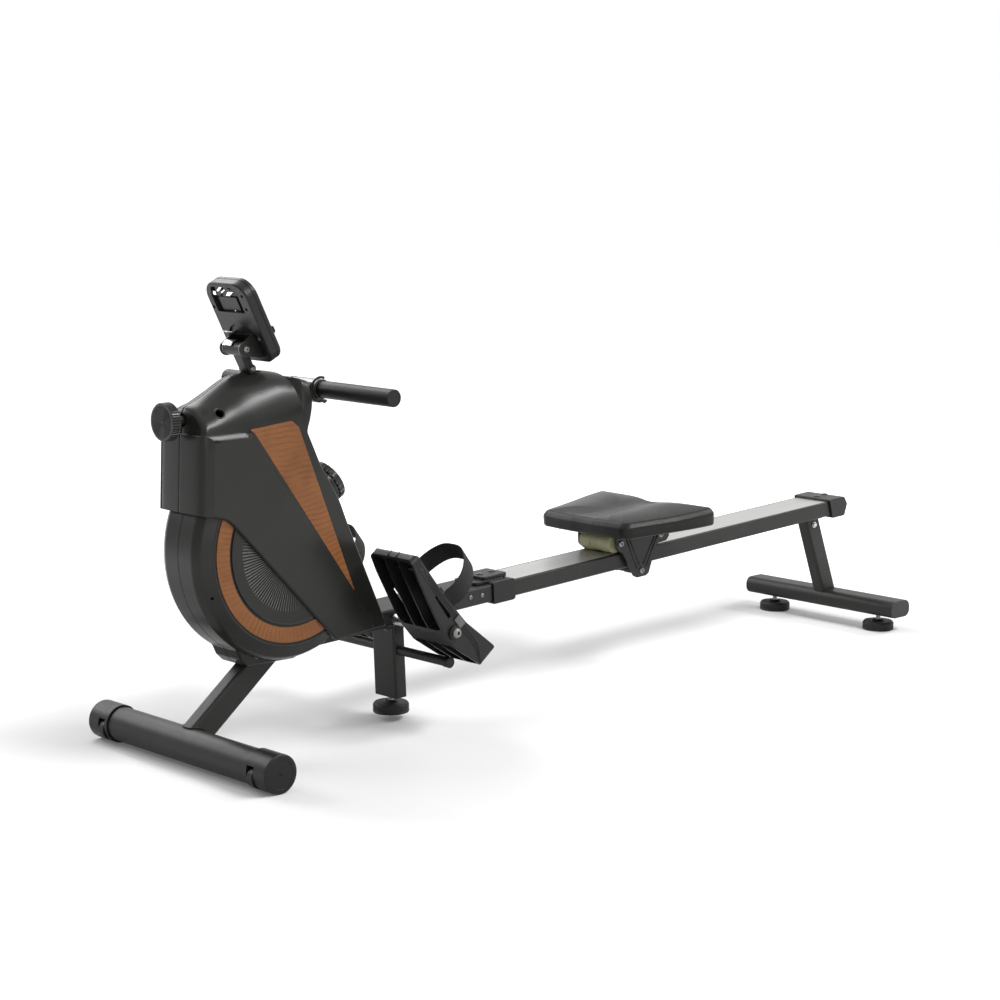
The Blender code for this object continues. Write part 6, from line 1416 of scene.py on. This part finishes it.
fitted(front, "console", "black_plastic", black_plastic, "console_front", place=FACE)
glass = finish("dark display window", (30.0, 2.0), (0.010, 0.012, 0.014), (0.016, 0.019, 0.021),
               (0.10, 0.05, 50.0, 2.0), Coat_Weight=1.0, Coat_Roughness=0.04)
pane = pillow("display_pane", inset(lens_ring, 0.0004), rim(0.0066, 0.0086, 0.0005, 3), "x")
fitted(crisp(pane), "console", "lens", glass, "console_lens", place=FACE)
button_ring = [(a, button_height + b) for a, b in button_ring]
button = pillow("console_key", button_ring, rim(0.0059, 0.0107, 0.0012, 4), "x")
fitted(crisp(button, 45), "console_button", "black_plastic", end_plastic, "console_button", place=FACE)

ear_in, ear_out = 0.0243, 0.0273
ear_ends = []
for share in (0.06, 0.38):
    corner = FACE @ Vector((-0.0122, 0.0, LENGTH * share)) - Vector((AXIS_X, 0.0, 0.0))
    ear_ends.append((corner.x, corner.z))
ear = arc((TILT_AXIS.x, TILT_AXIS.z), 0.0135, 152, 290, 24)
ear += fillet([ear[-1], *ear_ends, ear[0]], [0, 0.004, 0.003, 0], 4, False)[1:-1]
bracket, other = slab("ear", ear, ear_in, ear_out), slab("ear", ear, -ear_out, -ear_in)
web = block("web", (-0.0145, -ear_out, LENGTH * 0.06), (-0.0116, ear_out, LENGTH * 0.37))
web.data.transform(MACHINE.inverted() @ FACE)
swing = laid(rod("swing", 0.0123, -ear_in, ear_in), TILT_AXIS, "y")
bracket = carved(carved(bracket, [other, web], "UNION"), [swing])
fitted(eased(bracket, 0.0006, 2, 40), "console", "frame_paint", painted_steel, "console_bracket")
tab_line = [(-0.0130, LENGTH * 0.360), (-0.0240, LENGTH * 0.400), (-0.0355, LENGTH * 0.480)]
tab_line = fillet(tab_line, [0, 0.010, 0], 8, False)
tab_sides = (-0.0060, 0.0215)
tab = crisp(band("bracket_tab", tab_line, 0.0013, *tab_sides), 60)
fitted(tab, "console", "frame_paint", painted_steel, place=FACE)
# The free edge of the powder-coated tab is drawn as a thin bright steel rod: a painted edge highlight.
tab_edge_highlight = bent_rod("bracket_tab_edge", [(tab_line[-1][0], y, tab_line[-1][1]) for y in tab_sides], 0.0009, 8)
fitted(tab_edge_highlight, "console", "frame_paint", bright_steel, place=FACE)
clasp = band("barrel_clasp", arc((TILT_AXIS.x, TILT_AXIS.z), 0.0138, 96, 158, 16), 0.0012, -0.0030, 0.0200)
fitted(crisp(clasp, 60), "console", "steel", bright_steel)
for side in (1, -1):
    spot = (-0.0113, side * 0.0340, 0.0430)
    web_bolt = along(bolt("web_bolt", 0.0030, 0.0020, 0.0044, 24), spot, (-1.0, *spot[1:]))
    fitted(web_bolt, "console", "steel", dark_steel, place=FACE)

mast_foot = Vector((0.1535, 0.0, 0.6103))
mast_top = Vector((0.1160, 0.0, 0.6825))
mast_line = (mast_top - mast_foot).normalized()
mast = slab("mast", rounded_box(0.0072, 0.013, 0.0030), 0.0, 0.10, "z")
mast = along(mast, mast_foot - mast_line * 0.01, mast_top)
mast = carved(mast, [block("trim", (0.0, -0.1, TILT_AXIS.z), (0.3, 0.1, 0.9)),
                     block("trim", (0.0, -0.1, 0.5), (0.3, 0.1, mast_foot.z))])
cross_tube = laid(rod("cross_tube", 0.0115, -0.024, 0.024, 64, 0.0008), TILT_AXIS, "y")
mast = crisp(carved(mast, [cross_tube], "UNION"), 32)
fitted(mast, "base", "frame_paint", painted_steel, "console_mast")
for side in (1, -1):
    ear_bolt = facing_out(socket_bolt("ear_bolt", 0.0056, 0.0034), side, TILT_AXIS.x, ear_out, TILT_AXIS.z)
    fitted(ear_bolt, "base", "steel", dull_steel)
    boss = crisp(rod("mast_boss", 0.0072, -0.004, 0.0012, 40, 0.0006), 40)
    fitted(facing_out(boss, side, 0.1350, 0.0130, 0.6478), "base", "frame_paint", painted_steel)
    mast_bolt = crisp(socket_bolt("mast_bolt", 0.0044, 0.0030), 40)
    fitted(facing_out(mast_bolt, side, 0.1350, 0.0140, 0.6478), "base", "steel", dull_steel)
    ring = collar("barrel_ring", 0.0113, 0.0121, side * (ear_in - 0.0030), side * (ear_in - 0.0004), 0.0004, 64)
    fitted(crisp(laid(ring, TILT_AXIS, "y")), "base", "steel", dull_steel)


# Pedals. Two moulded foot plates with hollow ribbed backs and heel walls tilt on one axle through the beam.
# Each has a webbing strap that comes out of slots in its sides, with a clip block and a pale slide buckle.
INNER, OUTER = 0.088, 0.198
SIDE = [
    (0.004, 0.0), (0.100, 0.0015), (0.172, 0.0087), (0.2500, 0.0300), (0.2560, 0.0290), (0.2585, 0.0200),
    (0.2585, -0.0123), (0.2535, -0.0139), (0.1912, -0.0369), (0.1523, -0.0402), (0.1242, -0.0381),
    (0.0798, -0.0315), (0.036, -0.025), (0.0009, -0.0169), (0.0, -0.005),
]
radii = [0.002, 0.05, 0.05, 0.003, 0.003, 0.004, 0.005, 0.006, 0.03, 0.03, 0.03, 0.05, 0.05, 0.004, 0.003]


def on_pedal(points):
    return [pedal_point(down, out) for down, out in points]


outline = on_pedal(fillet(SIDE, radii, 5))
levels = [(0.0014, INNER), (0.0004, INNER + 0.0004), (0.0, INNER + 0.0014), (0.0, OUTER - 0.0014),
          (0.0004, OUTER - 0.0004), (0.0014, OUTER)]
body = pillow("pedal_body", outline, levels)
TILT = Matrix.Translation((PEDAL_TOP[0], 0.0, PEDAL_TOP[1])) @ Matrix.Rotation(PEDAL_ANGLE, 4, "Y")


def tilted(piece):
    """Lays a piece drawn flat onto the pedal's face."""
    piece.data.transform(TILT)
    return piece


def box_ring(first, last, low, high):
    return [(first, low), (last, low), (last, high), (first, high)]


plan = fillet(box_ring(-0.0005, 0.2590, INNER - 0.0005, OUTER + 0.0005), [0.014, 0.009, 0.009, 0.014], 8)
body = carved(body, [tilted(slab("pedal_plan", plan, -0.06, 0.05, "z"))], "INTERSECT")
room = fillet(box_ring(-0.01, 0.2545, INNER + 0.004, OUTER - 0.004), [0, 0.008, 0.008, 0], 6)
room = tilted(slab("room", room, 0.0, 0.06, "z"))
bay = (OUTER - INNER - 0.008 - 0.006) / 3
pockets = []
for column in range(3):
    low = INNER + 0.004 + column * (bay + 0.003)
    for first, last in ((0.0045, 0.1460), (0.1860, 0.2540)):
        soft = ([0.010, 0.009, 0.003, 0.003], 0.003, [0.003, 0.003, 0.009, 0.010])[column]
        ring = fillet(box_ring(first, last, low, low + bay), soft, 5)
        pockets.append(tilted(slab("pocket", ring, -0.09, -0.005, "z")))
body = carved(carved(body, [room]), pockets)
axle_at = (pivot[0], 0, pivot[1])
profile = [(0.0, INNER - 0.004), (0.0125, INNER - 0.004), (0.013, INNER - 0.0035), (0.013, OUTER + 0.0035),
           (0.0125, OUTER + 0.004), (0.0, OUTER + 0.004)]
body = carved(body, [laid(lathe("hub", profile, 64), axle_at, "y")], "UNION")
tools = [laid(rod("bore", AXLE_BORE, 0.05, 0.25, 40), axle_at, "y")]
for low in (INNER - 0.002, OUTER - 0.005):
    ring = fillet(box_ring(0.0860, 0.1375, -0.0170, -0.0105), 0.002, 3)
    tools.append(slab("slot", on_pedal(ring), low, low + 0.007))
body = eased(carved(body, tools), 0.0007, 2, 50)
details = []
for offset in (0.0, 0.0042, 0.0084):
    for side_y in (OUTER - 0.0002, INNER + 0.0002):
        path = [(0.012, -0.0040), (0.100, -0.0030), (0.168, 0.0015), (0.222, 0.0055)]
        path = [(down, out - offset) for down, out in path] + [(0.2540 - offset * 0.6, -0.0110)]
        path = fillet(path, 0.08, 8, False)
        details.append(bent_rod("side_rib", [(a, side_y, b) for a, b in on_pedal(path)], 0.0012, 8))
for y in (0.134, 0.155):
    seam = [(a, y, b) for a, b in on_pedal([(-0.0001, -0.0015), (-0.0001, -0.0150)])]
    details.append(bent_rod("top_seam", seam, 0.0007, 8))
for down in (0.030, 0.098):
    rib = block("cross_rib", (down, INNER + 0.003, -0.0110), (down + 0.002, OUTER - 0.003, -0.0045))
    details.append(tilted(rib))
clip = block("strap_clip", (0.0835, OUTER - 0.0110, -0.0010), (0.0960, OUTER - 0.0035, 0.0065))
details.append(settled_mesh(eased(tilted(clip), 0.0008, 2)))
for row in range(7):
    ridge = slab("grip_ridge", rounded_box(0.0022, 0.040, 0.0018, 3), -0.0005, 0.0011, "z")
    ridge.data.transform(TILT @ Matrix.Translation((0.022 + row * 0.011, (INNER + OUTER) / 2, 0.0)))
    details.append(ridge)

middle, strap_in = (INNER + OUTER) / 2, 0.0062
reach = (OUTER - INNER) / 2 - strap_in
line = [(OUTER - strap_in, -0.0040), (OUTER - strap_in, 0.0010)]
for step in range(65):
    turn = math.pi * step / 64
    climb = math.sin(turn) ** 0.8
    across = math.copysign(abs(math.cos(turn)) ** 0.65, math.cos(turn))
    line.append((middle + (reach + 0.013 * math.sin(math.pi * climb ** 0.8)) * across, 0.012 + 0.087 * climb))
line += [(INNER + strap_in, 0.0010), (INNER + strap_in, -0.0040)]
strap = band("foot_strap", line, 0.002, -0.018, 0.018, "x")
for vertex in strap.data.vertices:
    down, y, out = vertex.co
    down += 0.118 + max(out, 0.0) * -0.19
    spot_x, spot_z = pedal_point(down, out)
    vertex.co = (spot_x, y, spot_z)
crisp(strap, 50)
pale_plastic = finish("pale buckle plastic", (60.0, 3.0), (0.075, 0.075, 0.070), (0.100, 0.100, 0.094),
                      (0.38, 0.12, 200.0, 3.0))
ring = fillet([(0.1475, -0.0105), (0.1690, -0.0090), (0.1690, 0.0055), (0.1475, 0.0035)], 0.0015, 3)
buckle = tilted(slab("buckle", ring, -OUTER - 0.0024, -OUTER - 0.0002))
buckle.data.transform(Matrix.Scale(-1.0, 4, (0.0, 1.0, 0.0)))
buckle.data.flip_normals()
settled_mesh(eased(buckle, 0.0006, 3))
for word in ("right", "left"):
    parts = [(body, "black_plastic", black_plastic, ["pedal_" + word]),
             (strap, "webbing", webbing, ["pedal_strap_" + word]), (buckle, "black_plastic", pale_plastic, [])]
    parts += [(piece, "black_plastic", black_plastic, []) for piece in details]
    for piece, slot, paint, nodes in parts:
        if word == "right":
            piece = mirrored(piece, piece.name + "_near")
        fitted(piece, "pedal_" + word, slot, paint, *nodes)
axle = crisp(laid(rod("pedal_axle_rod", 0.006, -0.2035, 0.2035), axle_at, "y"))
fitted(axle, "base", "steel", bright_steel, "pedal_axle")
for side in (1, -1):
    head = facing_out(socket_bolt("pedal_bolt", 0.0086, 0.0058), side, pivot[0], 0.2028, pivot[1])
    fitted(head, "base", "steel", dull_steel)
    spacer = collar("axle_spacer", 0.0062, 0.0105, side * (RAIL_HALF + 0.0006), side * (INNER - 0.0046), 0.0006)
    fitted(crisp(laid(spacer, axle_at, "y")), "base", "steel", bright_steel)


# Seat. A moulded foam cushion in glossy vinyl, on a folded steel carriage with two side plates.
# Two rollers run on the top of the rail and a third below it keeps the carriage down.
FRONT, BACK = 0.930, 1.144
UNDER, EDGE = 0.0435, 0.030


def seat_half(share):
    return 0.114 + 0.0395 * math.sin(share * math.pi / 2) ** 1.2


half_line = [(BACK - 0.010, 0.0), (BACK - 0.0082, 0.014), (BACK - 0.0035, 0.030), (BACK - 0.0008, 0.046),
             (BACK, 0.064), (BACK, 0.090), (BACK, 0.1535)]
for share in (0.86, 0.72, 0.58, 0.44, 0.30):
    half_line.append((FRONT + (BACK - FRONT) * share, seat_half(share)))
half_line += [(FRONT, 0.114), (FRONT - 0.004, 0.060), (FRONT - 0.005, 0.028), (FRONT - 0.004, 0.0)]
radii = [0, 0.02, 0.03, 0.03, 0.03, 0.03, 0.030, 0.2, 0.2, 0.2, 0.2, 0.2, 0.024, 0.05, 0.04, 0]
side_line = fillet(half_line, radii, 7, False)
outline = side_line + [(a, -b) for a, b in side_line[::-1]][1:-1]
seat_middle = Vector((FRONT + (BACK - FRONT) * 0.52, 0.0))


def lobes(y):
    """Nothing over the middle line of the seat, rising to one under each thigh."""
    return 1.0 - math.exp(-(y / 0.045) ** 2)


def kick(x, y):
    """How far the back of each lobe rises."""
    return 0.009 * max(0.0, (x - seat_middle.x) / (BACK - FRONT)) * lobes(y)


def crown(x, y, share):
    rise = 0.0006 + 0.0100 * (1.0 - share ** 3) * (0.30 + 0.70 * lobes(y))
    dip = 0.004 * (1.0 - lobes(y)) * (1.0 - share ** 6)
    return UNDER + EDGE + rise - dip + kick(x, y)


points = []
levels = [(0.0080, UNDER), (0.0030, UNDER + 0.0004), (0.0008, UNDER + 0.0030), (0.0002, UNDER + 0.0110),
          (0.0, UNDER + 0.0190), (0.0003, UNDER + 0.0205), (0.0010, UNDER + 0.0219), (0.0021, UNDER + 0.0234),
          (0.0058, UNDER + 0.0279), (0.0070, UNDER + 0.0290), (0.0088, UNDER + 0.0300)]
for distance, height in levels:
    lifted = step_up(height, UNDER, UNDER + EDGE)
    points += [(a, b, height + kick(a, b) * lifted) for a, b in inset(outline, distance)]
inner = inset(outline, 0.0120)
for share in (1.0, 0.98, 0.95, 0.92, 0.86, 0.78, 0.68, 0.57, 0.46, 0.35, 0.24, 0.13, 0.05):
    for a, b in inner:
        spot = (seat_middle.x + (a - seat_middle.x) * share, b * share)
        points.append((*spot, crown(*spot, share) + 0.0002))
cushion = crisp(wrapped("seat_pad", points, len(outline)), 50)
vinyl = Paint("glossy black vinyl", Specular_IOR_Level=0.15)
hide = vinyl.add("ShaderNodeTexVoronoi", {"feature": "DISTANCE_TO_EDGE"}, {"Vector": vinyl.place(), "Scale": 620.0})
pebble = vinyl.ramp(hide, 0.0, 0.12)
vinyl.feed(
    Base_Color=vinyl.between(vinyl.speckle(12.0, 3.0), (0.0100, 0.0100, 0.0092), (0.0150, 0.0150, 0.0138)),
    Roughness=0.25 + 0.06 * vinyl.speckle(24.0, 4.0) + 0.06 * (1.0 - pebble))
vinyl.relief(pebble, 0.00006, 0.6)
fitted(cushion, "seat", "vinyl", vinyl, "seat_cushion", place=RAIL)

MIDDLE = 1.036
plate_in, plate_out = RAIL_HALF + 0.0038, RAIL_HALF + 0.0088
ROLLER_REACH = 0.056
roller_height, low_height = 0.0206, -RAIL_HEIGHT - 0.0006 - 0.009
tray = block("tray", (MIDDLE - 0.066, -plate_out, UNDER - 0.0021), (MIDDLE + 0.080, plate_out, UNDER - FIT))
profile = fillet([(MIDDLE + a, b) for a, b in (
    (-0.066, UNDER - 0.0012), (-0.066, 0.012), (-0.060, 0.005), (-0.052, 0.002), (-0.020, low_height - 0.008),
    (-0.012, low_height - 0.012), (0.012, low_height - 0.012), (0.020, low_height - 0.008), (0.044, 0.004),
    (0.072, 0.006), (0.080, 0.014), (0.080, UNDER - 0.0012))], [0] + [0.006] * 7 + [0.008, 0.006, 0.006, 0], 4)
cheeks = [slab("cheek", profile, *sorted((side * plate_in, side * plate_out))) for side in (1, -1)]
carriage = eased(carved(tray, cheeks, "UNION"), 0.0009, 3, 40)
fitted(carriage, "seat", "frame_paint", painted_steel, "seat_carriage", place=RAIL)
for side in (1, -1):
    for shift in (0.0, 0.006):
        for sign, start_x in ((1, -0.040), (-1, 0.050)):
            path = [(MIDDLE + start_x + sign * shift * 1.4, side * plate_out, 0.026 - shift * 0.2),
                    (MIDDLE + sign * (-0.013 + shift * 1.3), side * plate_out, low_height + 0.006 + shift)]
            fitted(bent_rod("cheek_rib", path, 0.0013, 8), "seat", "frame_paint", painted_steel, place=RAIL)
    for spot_x, height, size in ((MIDDLE - ROLLER_REACH, roller_height, 0.0065),
                                 (MIDDLE + ROLLER_REACH, roller_height, 0.0065), (MIDDLE, low_height, 0.0060)):
        head = facing_out(socket_bolt("roller_bolt", size, 0.0036), side, spot_x, plate_out, height)
        fitted(head, "seat", "steel", dull_steel, place=RAIL)
roller_plastic = finish("olive roller plastic", (40.0, 3.0), (0.29, 0.285, 0.155), (0.37, 0.36, 0.21),
                        (0.38, 0.12, 150.0, 3.0))
for name, spot_x, height, radius in (("front", MIDDLE - ROLLER_REACH, roller_height, 0.020),
                                     ("rear", MIDDLE + ROLLER_REACH, roller_height, 0.020),
                                     ("lower", MIDDLE, low_height, 0.009)):
    half = 0.039
    profile = fillet([(0.0043, -half), (radius, -half), (radius, -0.012), (radius - 0.0012, -0.0105),
                      (radius - 0.0012, 0.0105), (radius, 0.012), (radius, half), (0.0043, half)], 0.0010, 3)
    roller = crisp(laid(lathe("roller_" + name, profile, 64), (spot_x, 0, height), "y"), 40)
    paint = rubber if name == "lower" else roller_plastic
    fitted(roller, "roller_" + name, "roller_plastic", paint, "seat_roller_" + name, place=RAIL)
    pin = laid(rod("roller_axle", 0.004, -plate_out, plate_out, 32), (spot_x, 0, height), "y")
    fitted(crisp(pin), "seat", "steel", bright_steel, place=RAIL)


# Studio. A plain pale floor and a white background, with large soft lamps above and on the camera's side.
# The camera stands low in front of the machine, to its right, with a long lens.
floor = bpy.data.meshes.new("floor")
floor.from_pydata([(-14, -14, 0), (14, -14, 0), (14, 14, 0), (-14, 14, 0)], [], [(0, 1, 2, 3)])
floor = bpy.data.objects.new("floor", floor)
bpy.context.scene.collection.objects.link(floor)
pale = Paint("pale studio floor", Base_Color=(0.80, 0.80, 0.80, 1.0), Roughness=0.9)
spread = pale.add("ShaderNodeVectorMath", {"operation": "LENGTH"}, {0: pale.place()}, "Value")
shine = pale.between(pale.ramp(spread, 0.9, 1.9), (0.08, 0.08, 0.08), (1.0, 1.0, 1.0))
lit = pale.add("ShaderNodeEmission", {}, {"Color": shine, "Strength": 1.0})
rays = pale.wires(pale.add("ShaderNodeLightPath"), "Is Camera Ray", "Is Glossy Ray", "Is Transmission Ray")
seen = rays[0] + rays[1] + rays[2]
nothing = pale.add("ShaderNodeEmission", {}, {"Strength": 0.0})
glow = pale.add("ShaderNodeMixShader", {}, {0: seen, 1: nothing, 2: lit})
both = pale.add("ShaderNodeAddShader", {}, {0: Wire(pale, pale.shader.outputs[0]), 1: glow})
pale.tree.links.new(both.socket, pale.tree.nodes["Material Output"].inputs["Surface"])
floor.data.materials.append(pale.material)

world = bpy.data.worlds.new("studio")
bpy.context.scene.world = world
world.use_nodes = True
tree = world.node_tree
sky, white = tree.nodes["Background"], tree.nodes.new("ShaderNodeBackground")
for background, strength in ((sky, 0.20), (white, 1.0)):
    background.inputs["Color"].default_value = (1.0, 1.0, 1.0, 1.0)
    background.inputs["Strength"].default_value = strength
path = tree.nodes.new("ShaderNodeLightPath")
mix = tree.nodes.new("ShaderNodeMixShader")
clear = path.outputs["Is Camera Ray"]
for output in ("Is Glossy Ray", "Is Transmission Ray"):
    either = tree.nodes.new("ShaderNodeMath")
    either.operation = "MAXIMUM"
    tree.links.new(clear, either.inputs[0])
    tree.links.new(path.outputs[output], either.inputs[1])
    clear = either.outputs[0]
tree.links.new(clear, mix.inputs[0])
tree.links.new(sky.outputs[0], mix.inputs[1])
tree.links.new(white.outputs[0], mix.inputs[2])
tree.links.new(mix.outputs[0], tree.nodes["World Output"].inputs["Surface"])


def softbox(name, location, target, width, height, power):
    lamp = bpy.data.lights.new(name, "AREA")
    lamp.shape = "RECTANGLE"
    lamp.size = width
    lamp.size_y = height
    lamp.energy = power
    piece = bpy.data.objects.new(name, lamp)
    piece.location = location
    piece.rotation_euler = (Vector(target) - Vector(location)).to_track_quat("-Z", "Y").to_euler()
    bpy.context.scene.collection.objects.link(piece)


softbox("high_near", (0.64, -2.02, 2.60), (-0.76, -0.05, 0.58), 1.8, 0.44, 88)
softbox("high_far", (-0.30, 2.15, 2.55), (-0.78, 0.0, 0.50), 1.6, 1.6, 44)
softbox("far_side", (-1.55, 2.35, 1.60), (-0.60, 0.0, 0.20), 1.4, 0.9, 22)
softbox("high_rear", (3.10, -1.30, 2.75), (0.20, -0.10, 0.25), 1.8, 0.7, 42)
softbox("overhead", (-0.3, 0.2, 3.2), (-0.2, 0.0, 0.2), 3.0, 2.2, 10)
softbox("camera_side", (-1.9, -3.1, 1.2), (-0.7, 0.0, 0.45), 1.0, 1.6, 10)

camera = bpy.data.cameras.new("camera")
camera.lens = 83.35
camera.sensor_width = 36.0
camera = bpy.data.objects.new("camera", camera)
camera.location = (-2.1854 + AXIS_X, -3.0438, 1.0391)
camera.rotation_euler = (math.radians(80.871), 0.0, math.radians(-43.567))
bpy.context.scene.collection.objects.link(camera)
bpy.context.scene.camera = camera
bpy.context.scene.view_settings.view_transform = "Standard"

for name, node in frame["nodes"].items():
    if not node.data.materials:
        node.data.materials.append(painted_steel.material)
